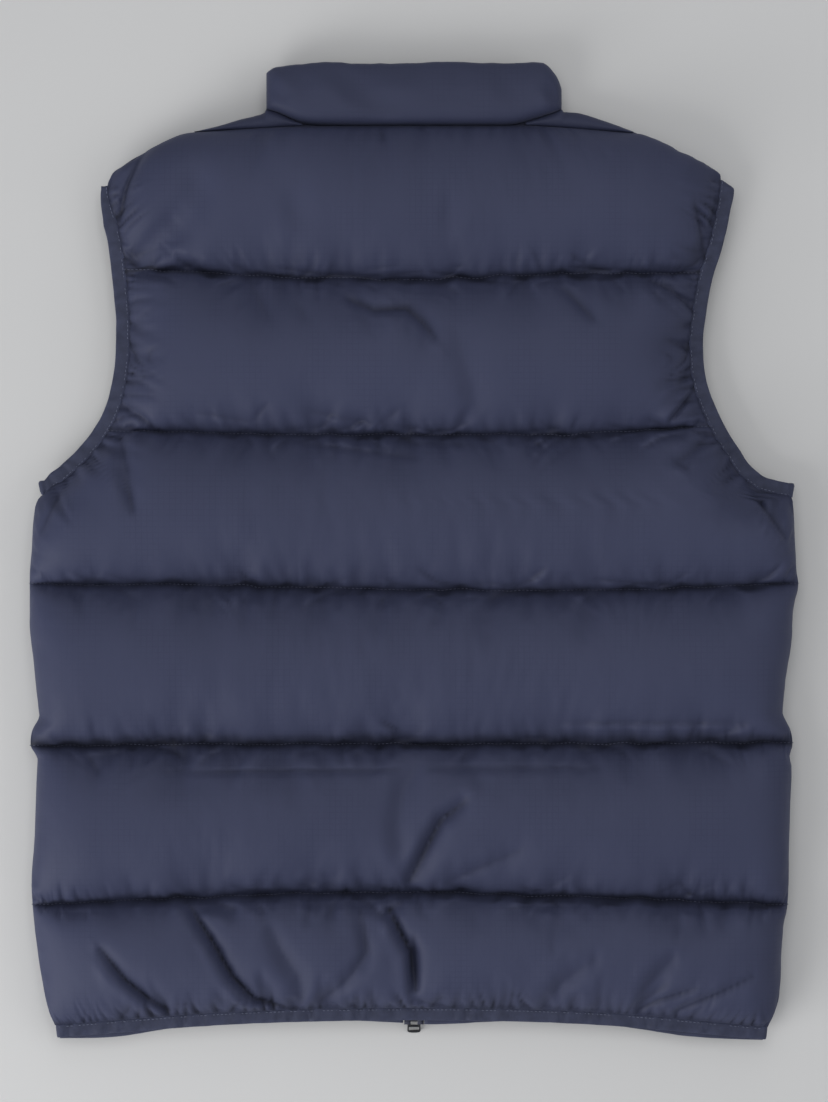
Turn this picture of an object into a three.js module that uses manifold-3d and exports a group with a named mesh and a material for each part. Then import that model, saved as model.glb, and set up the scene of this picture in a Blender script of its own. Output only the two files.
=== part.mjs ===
// A navy quilted vest, zipped shut and laid face down on a flat surface with its back up.
// Millimetres. +X is to the right and +Y towards the collar as the back is looked at, +Z is up.
// The origin is on the surface, under the middle of the vest's footprint.
import * as THREE from "three";
import { mergeVertices } from "three/addons/utils/BufferGeometryUtils.js";
import Module from "manifold-3d";

const wasm = await Module();
wasm.setup();

// Driving sizes
const SEAM_GAP = 0.3; // between two sewn pieces
const INSIDE_Z = 18; // the level where the fronts and the back lie on each other
const EDGE_THICKNESS = 2.5; // a padded wall where it is pressed flat at its cut edge
const SEAM_THICKNESS = 4; // a padded wall under a quilting seam
const SIDE_ROUNDING = 26; // how far the padding takes to swell in from a side seam
const BOUND_ROUNDING = 45; // and in from an armhole, where the binding gathers it
const ZIP_ROUNDING = 22; // and in from the zip
const FRONT_LOFT = 22; // fill of the fronts before the surface flattens them
const BINDING_WIDTH = 10;
const BINDING_THICKNESS = 2.4;
const ZIP_HALF_WIDTH = 7.5; // from the middle of the zip to the edge of a front
const FRONT_NECK_Y = 266; // where the front neckline meets the zip
const NECK_POINT_X = 112; // half the neck's width, at the shoulders
const NECK_POINT_Y = 333;
const COLLAR_HEIGHT = 55;

const BACK_INSIDE = INSIDE_Z + SEAM_GAP / 2;
const FRONT_INSIDE = INSIDE_Z - SEAM_GAP / 2;

// Seams that run across the back, from the hem up. The columns are the height of each one
// at its left end, a quarter, the middle, three quarters and its right end.
// thickness is the wall's there, and loft the fill of the channel above it.
const ACROSS = [
  { left: -361, leftQuarter: -351, middle: -348, rightQuarter: -351, right: -362.5, thickness: 3, loft: 23 },
  { left: -269, leftQuarter: -262.5, middle: -259.5, rightQuarter: -263, right: -269, thickness: 4, loft: 26 },
  { left: -148, leftQuarter: -147, middle: -146.5, rightQuarter: -146.5, right: -146, thickness: 4, loft: 26 },
  { left: -24.5, leftQuarter: -26, middle: -29.5, rightQuarter: -29.5, right: -24.5, thickness: 4, loft: 26 },
  { left: 91.5, leftQuarter: 89, middle: 88.5, rightQuarter: 88.5, right: 95, thickness: 4, loft: 25 },
  { left: 214.5, leftQuarter: 209, middle: 206.5, rightQuarter: 210.5, right: 211.5, thickness: 4, loft: 23 },
  { left: 318.5, leftQuarter: 323, middle: 323.4, rightQuarter: 323.4, right: 317.5, thickness: 6, loft: 0 },
];

// Outlines of the back, seam to seam: the side, the armhole and the shoulder, from the hem up.
const LEFT_EDGE = [
  { y: -362, x: -272.8 }, { y: -349, x: -278.2 }, { y: -326, x: -283 }, { y: -303.6, x: -286.5 },
  { y: -269.4, x: -290.3 }, { y: -250, x: -291 }, { y: -216, x: -288.6 }, { y: -174, x: -287.3 },
  { y: -158, x: -286.4 }, { y: -147.8, x: -291.8 }, { y: -136, x: -290.3 }, { y: -126, x: -285 },
  { y: -113.6, x: -286.5 }, { y: -83, x: -289.6 }, { y: -53, x: -292.5 }, { y: -21, x: -292.5 },
  { y: 0, x: -291 }, { y: 30, x: -288.8 }, { y: 37, x: -287 }, { y: 41, x: -284 },
  { y: 47.5, x: -276.6 }, { y: 55, x: -265 }, { y: 61, x: -258.4 }, { y: 68.8, x: -250 },
  { y: 84, x: -237.5 }, { y: 103, x: -226.5 }, { y: 125.8, x: -220 }, { y: 148.6, x: -217 },
  { y: 175, x: -216.6 }, { y: 205.6, x: -219.3 }, { y: 236, x: -223 }, { y: 252, x: -227 },
  { y: 266.4, x: -231.8 }, { y: 276, x: -233.4 }, { y: 284, x: -231 }, { y: 291.5, x: -223.4 },
  { y: 301.3, x: -208.2 }, { y: 309, x: -193 }, { y: 315.8, x: -177.8 }, { y: 320.3, x: -162.6 },
  { y: 324.1, x: -147.4 }, { y: 328.7, x: -132.2 }, { y: 331.7, x: -119 }, { y: 334, x: -113 },
];
const RIGHT_EDGE = [
  { y: -363, x: 269 }, { y: -349, x: 275.1 }, { y: -334, x: 278.2 }, { y: -303.6, x: 279.7 },
  { y: -284.6, x: 281.2 }, { y: -269.4, x: 284.2 }, { y: -227.6, x: 285.4 }, { y: -190, x: 286.5 },
  { y: -165, x: 287.3 }, { y: -156, x: 285.8 }, { y: -147.8, x: 288 }, { y: -136.4, x: 286.5 },
  { y: -123, x: 280.4 }, { y: -98, x: 282.7 }, { y: -68, x: 287.3 }, { y: -45, x: 288.4 },
  { y: -25.5, x: 292.5 }, { y: -14.8, x: 291.1 }, { y: 15.6, x: 289.6 }, { y: 36, x: 288.4 },
  { y: 41, x: 287 }, { y: 43.2, x: 276 }, { y: 46.7, x: 263.3 }, { y: 53.6, x: 253.4 },
  { y: 61, x: 246 }, { y: 71.3, x: 239.4 }, { y: 84, x: 231 }, { y: 109, x: 218.8 },
  { y: 130.6, x: 212 }, { y: 158.5, x: 209.8 }, { y: 185.8, x: 212.8 }, { y: 211.7, x: 217.8 },
  { y: 233.2, x: 224.7 }, { y: 264.9, x: 231.6 }, { y: 281, x: 233.5 }, { y: 288.4, x: 231 },
  { y: 296.8, x: 217.4 }, { y: 303.6, x: 202.2 }, { y: 310.5, x: 187 }, { y: 317.3, x: 171.8 },
  { y: 323.4, x: 156.6 }, { y: 328.7, x: 141.4 }, { y: 333.3, x: 126.2 }, { y: 334.4, x: 114 },
];
const UNDERARM_Y = { left: 40, right: 38 };
const SHOULDER_TIP_Y = { left: 276.5, right: 281.5 };
const FRONT_SCOOP = 9; // how much deeper the front armhole is cut
const TIP_WIDTH = { left: 4.6, right: 10 }; // how wide an armhole's binding is at the shoulder
const TIP_TAPER = 26; // and how far below the shoulder it starts to narrow
const FOOT_HEIGHT = 7; // its upright end at the underarm
const FOOT_TAPER = 24; // and how far above the underarm it starts to narrow
const FOOT_INSET = 2.4; // how far inside the side seam it ends

// The collar on the back: its seam and its top edge, from the left fold to the right one.
const COLLAR_FOLD_X = 112.5;
const COLLAR_SEAM = [
  { x: -112.5, y: 336 }, { x: -104, y: 333.7 }, { x: -84, y: 325.4 }, { x: -62, y: 323.8 },
  { x: 0, y: 323.7 }, { x: 62, y: 323.8 }, { x: 78, y: 325 }, { x: 104, y: 332.8 }, { x: 112.5, y: 336 },
];
const COLLAR_TOP = [
  { x: -112.5, y: 364 }, { x: -105, y: 368 }, { x: -70, y: 371.4 }, { x: -20, y: 370.6 },
  { x: 24, y: 372 }, { x: 60, y: 370.8 }, { x: 98, y: 371.4 }, { x: 108, y: 362 }, { x: 112.5, y: 352 },
];
const BACK_NECK_STATIONS = [0, 15, 30, 45, 58, 69, 78, 85, 92, 99, 105, 109, 111.5];
const FRONT_NECK_STATIONS = [7.5, 16, 28, 45, 62, 78, 92, 102, 110];

// How far the front's hem shows below the back's.
const HEM_PEEK = [
  { x: -272, drop: 0 }, { x: -228, drop: 2.4 }, { x: -180, drop: -1 }, { x: -60, drop: -1 },
  { x: -7.8, drop: 1.4 }, { x: 7.8, drop: 2.4 }, { x: 22, drop: 2.4 }, { x: 80, drop: -1 },
  { x: 150, drop: -1 }, { x: 212, drop: 2.4 }, { x: 266, drop: 0 },
];

// The largest folds that cross the padding: troughs from one end to the other,
// with the half width and the depth of each.
const FOLDS = [
  { fromX: -238, fromY: -298, toX: -189, toY: -344, width: 8, depth: 6 },
  { fromX: -170, fromY: -268, toX: -123, toY: -337, width: 8, depth: 7 },
  { fromX: -77, fromY: -302, toX: -83, toY: -337, width: 10, depth: 5 },
  { fromX: -109, fromY: -277, toX: -101, toY: -304, width: 10, depth: 4 },
  { fromX: -40, fromY: -263, toX: -22, toY: -277, width: 8, depth: 5 },
  { fromX: -14, fromY: -277, toX: -1, toY: -334, width: 9, depth: 8 },
  { fromX: -5, fromY: -322, toX: -21, toY: -345, width: 8, depth: 4 },
  { fromX: 138, fromY: -306, toX: 106, toY: -332, width: 10, depth: 4 },
  { fromX: 201, fromY: -304, toX: 172, toY: -330, width: 10, depth: 4 },
  { fromX: 214, fromY: -323, toX: 172, toY: -349, width: 8, depth: 4 },
  { fromX: 257, fromY: -320, toX: 197, toY: -349, width: 8, depth: 5 },
  { fromX: 40, fromY: -188, toX: -7, toY: -256, width: 11, depth: 7 },
  { fromX: 81, fromY: -224, toX: 23, toY: -252, width: 9, depth: 4 },
  { fromX: -11, fromY: -174, toX: -10, toY: -238, width: 9, depth: 3 },
  { fromX: -48, fromY: 190, toX: 2, toY: 181, width: 11, depth: 4 },
  { fromX: 2, fromY: 184, toX: 18, toY: 161, width: 9, depth: 4 },
  { fromX: 30, fromY: 169, toX: 49, toY: 98, width: 10, depth: 3 },
  { fromX: 110, fromY: 200, toX: 137, toY: 175, width: 9, depth: 4 },
  { fromX: -124, fromY: 199, toX: -108, toY: 177, width: 9, depth: 3 },
  { fromX: -174, fromY: 278, toX: -216, toY: 225, width: 10, depth: 5 },
  { fromX: -94, fromY: 86, toX: 2, toY: 70, width: 8, depth: 3 },
  { fromX: -104, fromY: 289, toX: -81, toY: 231, width: 12, depth: 3 },
  { fromX: 213, fromY: 264, toX: 219, toY: 236, width: 8, depth: 4 },
  { fromX: -189, fromY: -167, toX: -11, toY: -167, width: 6, depth: 2.5 },
  { fromX: 11, fromY: -165, toX: 157, toY: -165, width: 6, depth: 2.5 },
];
const GATHERS = { pitch: 21, depth: 1.6, reach: 26 }; // small pleats along bound edges

// How finely each form is drawn: shares of a channel's height, and places in from an edge
const CHANNEL_ROWS = [0, 0.035, 0.1, 0.22, 0.38, 0.55, 0.7, 0.82, 0.92, 0.97];
const UNDERARM_ROWS = [0, 0.04, 0.12, 0.26, 0.42, 0.53, 0.565, 0.6, 0.65, 0.71, 0.78, 0.86, 0.93, 0.97];
const YOKE_ROWS = [0, 0.04, 0.12, 0.25, 0.4, 0.5, 0.59, 0.655, 0.75, 0.85, 0.94, 1];
const FRONT_ROWS = [0, 0.05, 0.14, 0.28, 0.72, 0.86, 0.95];
const FRONT_UNDERARM_ROWS = [0, 0.05, 0.14, 0.3, 0.53, 0.565, 0.6, 0.65, 0.71, 0.78, 0.86, 0.95];
const FRONT_YOKE_ROWS = [0, 0.05, 0.14, 0.3];
const EDGE_COLUMNS = [0, 4, 11, 21, 34];
const FRONT_EDGE_COLUMNS = [0, 3, 9, 20];
const BACK_COLUMNS = 38;
const FRONT_COLUMNS = 8;
const HEM_STEPS = 44;

const lerp = THREE.MathUtils.lerp;
const clamp = THREE.MathUtils.clamp;

// The value of one column of a table at a place in another, on a smooth curve through its rows.
function along(table, from, to, place) {
  const rising = table.at(-1)[from] > table[0][from];
  const beyond = (row) => (rising ? row[from] > place : row[from] < place);
  const next = clamp(table.findIndex(beyond), 1, table.length - 1);
  const after = table.some(beyond) ? next : table.length - 1;
  const [a, b, c, d] = [after - 2, after - 1, after, after + 1].map((i) => table[clamp(i, 0, table.length - 1)]);
  const t = clamp((place - b[from]) / (c[from] - b[from]), 0, 1);
  const slopeOf = (p, q) => (q[to] - p[to]) / (q[from] - p[from] || 1);
  const chord = slopeOf(b, c);
  const limit = (slope) => (slope * chord <= 0 ? 0 : Math.sign(chord) * Math.min(Math.abs(slope), 3 * Math.abs(chord)));
  const span = c[from] - b[from];
  const startSlope = limit(slopeOf(a === b ? b : a, c)) * span;
  const endSlope = limit(slopeOf(b, d === c ? c : d)) * span;
  return (
    b[to] * (1 + 2 * t) * (1 - t) ** 2 +
    startSlope * t * (1 - t) ** 2 +
    c[to] * t * t * (3 - 2 * t) +
    endSlope * t * t * (t - 1)
  );
}

// The height of a seam across the back at a share u of its width.
function seamHeight(seam, u) {
  const stations = [seam.left, seam.leftQuarter, seam.middle, seam.rightQuarter, seam.right];
  const table = stations.map((y, i) => ({ u: i / (stations.length - 1), y }));
  return along(table, "u", "y", u);
}

const edgeX = (table, y) => along(table, "y", "x", y);
const swell = (distance, rounding) => Math.sqrt(1 - (1 - clamp(distance / rounding, 0, 1)) ** 2);
const gatheredSwell = (distance) => Math.sin((Math.PI / 2) * clamp(distance / BOUND_ROUNDING, 0, 1)) ** 0.9;
const channelShape = (t) => Math.pow(Math.max(0, 1 - Math.abs(2 * t - 1) ** 2.4), 0.6);

// How far a place is from a bent line.
function distanceFrom(line, x, y) {
  let nearest = Infinity;
  for (let i = 1; i < line.length; i++) {
    const [a, b] = [line[i - 1], line[i]];
    const [runX, runY] = [b.x - a.x, b.y - a.y];
    const t = clamp(((x - a.x) * runX + (y - a.y) * runY) / (runX * runX + runY * runY), 0, 1);
    nearest = Math.min(nearest, Math.hypot(x - a.x - runX * t, y - a.y - runY * t));
  }
  return nearest;
}

// The parts of an outline: the bound armhole, the side seam below it and the fold over the shoulder.
function outlineParts(table, side) {
  const armhole = table.filter(({ y }) => y >= UNDERARM_Y[side] && y <= SHOULDER_TIP_Y[side] + 3);
  const sideSeam = table.filter(({ y }) => y <= UNDERARM_Y[side] + 1);
  const shoulder = table.filter(({ y }) => y >= SHOULDER_TIP_Y[side]);
  return { armhole, sideSeam, shoulder };
}
const OUTLINE = { left: outlineParts(LEFT_EDGE, "left"), right: outlineParts(RIGHT_EDGE, "right") };

// How deep the folds are at a place.
function foldDepth(x, y) {
  return FOLDS.reduce((sum, fold) => {
    const run = new THREE.Vector2(fold.toX - fold.fromX, fold.toY - fold.fromY);
    const place = new THREE.Vector2(x - fold.fromX, y - fold.fromY);
    const share = clamp(place.dot(run) / run.lengthSq(), 0, 1);
    const away = place.sub(run.multiplyScalar(share)).length();
    return sum + fold.depth * Math.exp(-((away / fold.width) ** 2));
  }, 0);
}

// A wave that dies away from a bound edge: place is measured along the edge.
function gather(place, distance) {
  const wave = Math.cos((2 * Math.PI * place) / GATHERS.pitch);
  return GATHERS.depth * wave * Math.exp(-((distance / GATHERS.reach) ** 2)) * clamp(distance / 4, 0, 1);
}

function meshOf(positions, faces) {
  const geometry = new THREE.BufferGeometry();
  geometry.setAttribute("position", new THREE.Float32BufferAttribute(positions.flatMap((p) => p.toArray()), 3));
  geometry.setIndex(faces.flat());
  geometry.computeVertexNormals();
  return geometry;
}

// Two triangles for each cell of a grid whose points are numbered by at(row, column).
function cells(rows, columns, at, faces) {
  for (let r = 0; r < rows; r++)
    for (let c = 0; c < columns; c++) {
      faces.push([at(r, c), at(r, c + 1), at(r + 1, c + 1)]);
      faces.push([at(r, c), at(r + 1, c + 1), at(r + 1, c)]);
    }
}

// A wall whose outer side is a grid of points and whose inside is flat.
// The grid's rows run up and its columns to the right; outward is up where faceUp is true.
function wallOnFlat(grid, flatZ, faceUp) {
  const columns = grid[0].length;
  const points = grid.flat();
  const faces = [];
  cells(grid.length - 1, columns - 1, (r, c) => r * columns + c, faces);
  const rim = [];
  for (let c = 0; c < columns; c++) rim.push(c);
  for (let r = 1; r < grid.length; r++) rim.push(r * columns + columns - 1);
  for (let c = columns - 2; c >= 0; c--) rim.push((grid.length - 1) * columns + c);
  for (let r = grid.length - 2; r > 0; r--) rim.push(r * columns);
  const first = points.length;
  rim.forEach((i) => points.push(new THREE.Vector3(points[i].x, points[i].y, flatZ)));
  rim.forEach((i, n) => {
    const next = (n + 1) % rim.length;
    faces.push([i, first + n, first + next], [i, first + next, rim[next]]);
  });
  const outline = rim.map((i) => new THREE.Vector2(points[i].x, points[i].y));
  THREE.ShapeUtils.triangulateShape(outline, []).forEach(([a, b, c]) => faces.push([first + a, first + c, first + b]));
  return meshOf(points, faceUp ? faces : faces.map(([a, b, c]) => [a, c, b]));
}

// A solid drawn through closed sections, each with the same number of points,
// either end to end with flat caps or round in a ring.
function throughSections(sections, ring) {
  const count = sections[0].length;
  const points = sections.flat();
  const faces = [];
  const lengths = ring ? sections.length : sections.length - 1;
  cells(lengths, count, (r, c) => (r % sections.length) * count + (c % count), faces);
  if (!ring) {
    const last = (sections.length - 1) * count;
    for (let c = 1; c < count - 1; c++) {
      faces.push([0, c + 1, c]);
      faces.push([last, last + c, last + c + 1]);
    }
  }
  return outward(meshOf(points, faces));
}

// The same geometry with its faces turned round where they pointed inwards.
function outward(geometry) {
  const p = geometry.getAttribute("position");
  const at = (i) => new THREE.Vector3().fromBufferAttribute(p, i);
  const index = Array.from(geometry.index.array);
  let volume = 0;
  for (let i = 0; i < index.length; i += 3)
    volume += at(index[i]).dot(at(index[i + 1]).cross(at(index[i + 2])));
  if (volume < 0) for (let i = 0; i < index.length; i += 3) [index[i + 1], index[i + 2]] = [index[i + 2], index[i + 1]];
  geometry.setIndex(index);
  geometry.computeVertexNormals();
  return geometry;
}

// Booleans, through closed meshes whose vertices are shared.
function solid(geometry) {
  const bare = geometry.clone();
  bare.deleteAttribute("normal");
  bare.deleteAttribute("uv");
  const merged = mergeVertices(bare, 1e-4);
  const vertProperties = new Float32Array(merged.attributes.position.array);
  return new wasm.Manifold(new wasm.Mesh({ numProp: 3, vertProperties, triVerts: new Uint32Array(merged.index.array) }));
}

function geometryOf(made) {
  const mesh = made.getMesh();
  const points = [];
  for (let i = 0; i < mesh.numVert; i++)
    points.push(new THREE.Vector3(...mesh.vertProperties.subarray(i * mesh.numProp, i * mesh.numProp + 3)));
  const faces = [];
  for (let i = 0; i < mesh.triVerts.length; i += 3) faces.push([...mesh.triVerts.subarray(i, i + 3)]);
  return meshOf(points, faces);
}

// Places across a panel: close together by both edges and even between them.
function acrossPanel(leftX, rightX, edgeColumns, middleColumns) {
  const half = (rightX - leftX) / 2;
  const room = edgeColumns.at(-1);
  const shrink = Math.min(1, half / (room * 1.6));
  const margins = edgeColumns.map((d) => d * shrink);
  const start = leftX + margins.at(-1);
  const end = rightX - margins.at(-1);
  const between = [];
  for (let i = 1; i <= middleColumns; i++) between.push(lerp(start, end, i / (middleColumns + 1)));
  return [...margins.map((d) => leftX + d), ...between, ...margins.map((d) => rightX - d).reverse()];
}

const UNDERARM_CHANNEL = 3;
const YOKE_CHANNEL = 5;

// The rows of the back: for each, its channel, its share of the channel and its two ends.
function backRows() {
  const rows = [];
  ACROSS.slice(0, -1).forEach((below, channel) => {
    const above = ACROSS[channel + 1];
    const shares = { [UNDERARM_CHANNEL]: UNDERARM_ROWS, [YOKE_CHANNEL]: YOKE_ROWS }[channel] ?? CHANNEL_ROWS;
    shares.forEach((share) => {
      const leftY = lerp(below.left, above.left, share);
      const rightY = lerp(below.right, above.right, share);
      const left = new THREE.Vector2(edgeX(LEFT_EDGE, leftY), leftY);
      const right = new THREE.Vector2(edgeX(RIGHT_EDGE, rightY), rightY);
      rows.push({ channel, share, left, right });
    });
  });
  return rows;
}

// The back panel: six padded channels between the hem and the neck, quilted through.
function backPanel() {
  const grid = backRows().map(({ channel, share, left, right }) =>
    acrossPanel(left.x, right.x, EDGE_COLUMNS, BACK_COLUMNS).map((x) => {
      const u = (x - left.x) / (right.x - left.x);
      const y = lerp(seamHeight(ACROSS[channel], u), seamHeight(ACROSS[channel + 1], u), share);
      return new THREE.Vector3(x, y, BACK_INSIDE + backThickness(x, y, channel, share));
    }),
  );
  return wallOnFlat(grid, BACK_INSIDE, true);
}

function backThickness(x, y, k, t) {
  const outline = x < 0 ? OUTLINE.left : OUTLINE.right;
  const fromArmhole = distanceFrom(outline.armhole, x, y);
  const fromSide = Math.min(distanceFrom(outline.sideSeam, x, y), distanceFrom(outline.shoulder, x, y));
  const edges = gatheredSwell(fromArmhole) * swell(fromSide, SIDE_ROUNDING);
  const seam = lerp(ACROSS[k].thickness, ACROSS[k + 1].thickness, t);
  const fill = ACROSS[k].loft * channelShape(t) * edges;
  const fromHem = y - ACROSS[0].middle;
  const pleats = gather(x, fromHem + 4) + gather(y, fromArmhole);
  const crease = Math.min(foldDepth(x, y), 0.6 * fill);
  const bare = EDGE_THICKNESS + (seam - EDGE_THICKNESS) * edges + fill;
  return Math.max(EDGE_THICKNESS, bare - crease + pleats * Math.min(1, fill / 6));
}

// A front's armhole is cut deeper than the back's, so it lies out of sight under it.
function frontEdgeX(side, y) {
  const [low, high] = [UNDERARM_Y[side], SHOULDER_TIP_Y[side]];
  const scoop = FRONT_SCOOP * Math.sin(Math.PI * clamp((y - low) / (high - low), 0, 1));
  return side === "left" ? edgeX(LEFT_EDGE, y) + scoop : edgeX(RIGHT_EDGE, y) - scoop;
}

// How far down the neckline a half width is, from 1 at the zip to 0 at the shoulder.
const neckShare = (halfX) => Math.cos((Math.PI / 2) * clamp(halfX / NECK_POINT_X, 0, 1));
const frontNeckY = (x) => NECK_POINT_Y - (NECK_POINT_Y - FRONT_NECK_Y) * neckShare(Math.abs(x));

// The rows of one front, each with the end at its outer edge and the end at the zip or the neckline.
function frontRows(side) {
  const sign = side === "left" ? -1 : 1;
  const rows = [];
  ACROSS.slice(0, -1).forEach((below, channel) => {
    const yoke = channel === YOKE_CHANNEL;
    const above = ACROSS[channel + 1];
    const [outerTop, innerTop] = yoke ? [NECK_POINT_Y, NECK_POINT_Y] : [above[side], above.middle];
    const push = (share, innerX) => {
      const outerY = lerp(below[side], outerTop, share);
      const outer = new THREE.Vector2(frontEdgeX(side, outerY), outerY);
      const inner = new THREE.Vector2(sign * innerX, lerp(below.middle, innerTop, share));
      rows.push({ channel, share, outer, inner });
    };
    const shares = { [UNDERARM_CHANNEL]: FRONT_UNDERARM_ROWS, [YOKE_CHANNEL]: FRONT_YOKE_ROWS }[channel];
    (shares ?? FRONT_ROWS).forEach((share) => push(share, ZIP_HALF_WIDTH));
    if (yoke)
      FRONT_NECK_STATIONS.forEach((x) => push((frontNeckY(x) - below.middle) / (innerTop - below.middle), x));
  });
  return rows;
}

// The two hems lie one on the other, the front's a little lower in places.
const HEM_END_INSET = 2.8;
const HEM_LEFT_X = LEFT_EDGE[0].x + HEM_END_INSET;
const HEM_RIGHT_X = RIGHT_EDGE[0].x - HEM_END_INSET;
const backHemY = (x) => seamHeight(ACROSS[0], (x - HEM_LEFT_X) / (HEM_RIGHT_X - HEM_LEFT_X));
const frontHemY = (x) => backHemY(x) - along(HEM_PEEK, "x", "drop", x);

// One front's outer side: the same channels, pressed flat where they rest on the surface.
function frontGrid(side) {
  const rows = frontRows(side);
  return rows.map(({ channel, share, outer, inner }) => {
    const [leftX, rightX] = [Math.min(outer.x, inner.x), Math.max(outer.x, inner.x)];
    return acrossPanel(leftX, rightX, FRONT_EDGE_COLUMNS, FRONT_COLUMNS).map((x) => {
      const inward = (x - outer.x) / (inner.x - outer.x);
      const hemShift = frontHemY(x) - lerp(rows[0].outer.y, rows[0].inner.y, inward);
      const y = lerp(outer.y, inner.y, inward) + (channel === 0 ? hemShift * (1 - share) : 0);
      const swollen = swell(x - leftX, ZIP_ROUNDING) * swell(rightX - x, ZIP_ROUNDING);
      const fill = FRONT_LOFT * channelShape(share) * swollen;
      const thickness = EDGE_THICKNESS + (SEAM_THICKNESS - EDGE_THICKNESS) * swollen + fill;
      return new THREE.Vector3(x, y, Math.max(0, FRONT_INSIDE - thickness));
    });
  });
}

function frontPanel(side) {
  const wall = solid(wallOnFlat(frontGrid(side), FRONT_INSIDE, false));
  return geometryOf(wall.add(solid(shoulderLip(side))));
}

// Where a front comes over the shoulder to meet the back's top seam and the collar.
const LIP = { height: 6, root: 2, gap: 0.5, endX: 85, turnX: 117 };
const LIP_STATIONS = [167, 158, 148, 138, 128, 117];
function shoulderLip(side) {
  const sign = side === "left" ? -1 : 1;
  const table = side === "left" ? LEFT_EDGE : RIGHT_EDGE;
  const byNeck = BACK_NECK_STATIONS.filter((x) => x >= LIP.endX).reverse();
  const backSeam = ACROSS.at(-1);
  const [farLeft, farRight] = [edgeX(LEFT_EDGE, backSeam.left), edgeX(RIGHT_EDGE, backSeam.right)];
  const sections = [...LIP_STATIONS, ...byNeck].map((halfX) => {
    const x = sign * halfX;
    const low = seamHeight(backSeam, (x - farLeft) / (farRight - farLeft)) + LIP.gap;
    const overShoulder = halfX >= LIP.turnX;
    const edge = overShoulder ? along(table, "x", "y", x) : along(COLLAR_SEAM, "x", "y", x) - SEAM_GAP;
    const reach = Math.max(0.4, edge - low);
    const base = overShoulder ? FRONT_INSIDE - LIP.root : BACK_INSIDE;
    const arch = [0, 0.35, 0.65, 0.85, 0.96].map((share) => {
      const rise = overShoulder ? Math.sqrt(1 - share * share) : 1;
      return new THREE.Vector3(x, low + reach * share, BACK_INSIDE + LIP.height * rise);
    });
    const last = BACK_INSIDE + (overShoulder ? 0 : LIP.height);
    return [
      new THREE.Vector3(x, low, base),
      ...arch,
      new THREE.Vector3(x, low + reach, last),
      new THREE.Vector3(x, low + reach, base),
    ];
  });
  return throughSections(sections, false);
}

// The collar: one padded band round the neck, pressed flat, with its ends at the zip.
const COLLAR = { edge: 5, backLoft: 13, frontLoft: 15, foldWall: 8, foldFrom: 96, foldRounding: 16, rows: 8 };
function collarShape() {
  const profile = (v) => Math.pow(Math.max(0, 1 - Math.abs(2 * v - 1) ** 2.6), 0.6);
  const backY = (x, v) => lerp(along(COLLAR_SEAM, "x", "y", x), along(COLLAR_TOP, "x", "y", x), v);
  const frontY = (x, v) => {
    const top = lerp(along(COLLAR_TOP, "x", "y", x) - 1, FRONT_NECK_Y + COLLAR_HEIGHT, neckShare(Math.abs(x)));
    return lerp(frontNeckY(x) + SEAM_GAP, top, v);
  };
  const front = FRONT_NECK_STATIONS.map((x) => ({ layer: "front", x }));
  const back = BACK_NECK_STATIONS.map((x) => ({ layer: "back", x }));
  const fold = { layer: "fold", x: COLLAR_FOLD_X };
  const mirrored = ({ layer, x }) => ({ layer, x: -x });
  const half = [...front, fold, ...back.reverse()];
  const stations = [...half.slice(0, -1).map(mirrored), ...half.reverse()];
  const points = ({ layer, x }, v) => {
    const nearFold = Math.max(0, Math.abs(x) - COLLAR.foldFrom) / (COLLAR_FOLD_X - COLLAR.foldFrom);
    const inner = x - Math.sign(x) * COLLAR.foldWall * nearFold;
    const fromFold = COLLAR_FOLD_X - Math.abs(x);
    if (layer === "fold") {
      const y = backY(x, v);
      return [new THREE.Vector3(x, y, INSIDE_Z), new THREE.Vector3(inner, y, INSIDE_Z)];
    }
    const padding = profile(v) * swell(fromFold, COLLAR.foldRounding);
    const rounded = swell(fromFold, 4);
    if (layer === "back") {
      const y = backY(x, v);
      const thickness = COLLAR.edge * rounded + COLLAR.backLoft * padding;
      return [new THREE.Vector3(x, y, BACK_INSIDE + thickness), new THREE.Vector3(inner, y, BACK_INSIDE)];
    }
    const y = frontY(x, v);
    const zipped = swell(Math.abs(x) - ZIP_HALF_WIDTH, ZIP_ROUNDING);
    const edge = lerp(EDGE_THICKNESS, COLLAR.edge, zipped);
    const low = FRONT_INSIDE - edge * rounded - COLLAR.frontLoft * padding * zipped;
    return [new THREE.Vector3(x, y, Math.max(0, low)), new THREE.Vector3(inner, y, FRONT_INSIDE)];
  };
  const sections = stations.map((station) => {
    const outer = [];
    const inner = [];
    for (let r = 0; r <= COLLAR.rows; r++) {
      const [out, back] = points(station, r / COLLAR.rows);
      outer.push(out);
      inner.push(back);
    }
    return [...outer, ...inner.reverse()];
  });
  return throughSections(sections, false);
}

// A flat folded tape drawn through stations, each with its middle, the direction across it
// and the direction out of its face.
function tape(stations, ring) {
  const half = BINDING_THICKNESS / 2;
  const w = BINDING_WIDTH / 2;
  const corners = [
    { along: -w, out: -half }, { along: w - 1, out: -half }, { along: w, out: 0 },
    { along: w - 1, out: half }, { along: -w, out: half },
  ];
  const sections = stations.map(({ middle, across, up }) =>
    corners.map((corner) => middle.clone().addScaledVector(across, corner.along).addScaledVector(up, corner.out)),
  );
  return throughSections(sections, ring);
}

const TAPE_LEVEL = SEAM_GAP / 2 + BINDING_THICKNESS / 2;
const TURN_STEPS = [45, 90, 135];
const ABOVE = new THREE.Vector3(0, 0, 1);
const BELOW = new THREE.Vector3(0, 0, -1);

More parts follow.
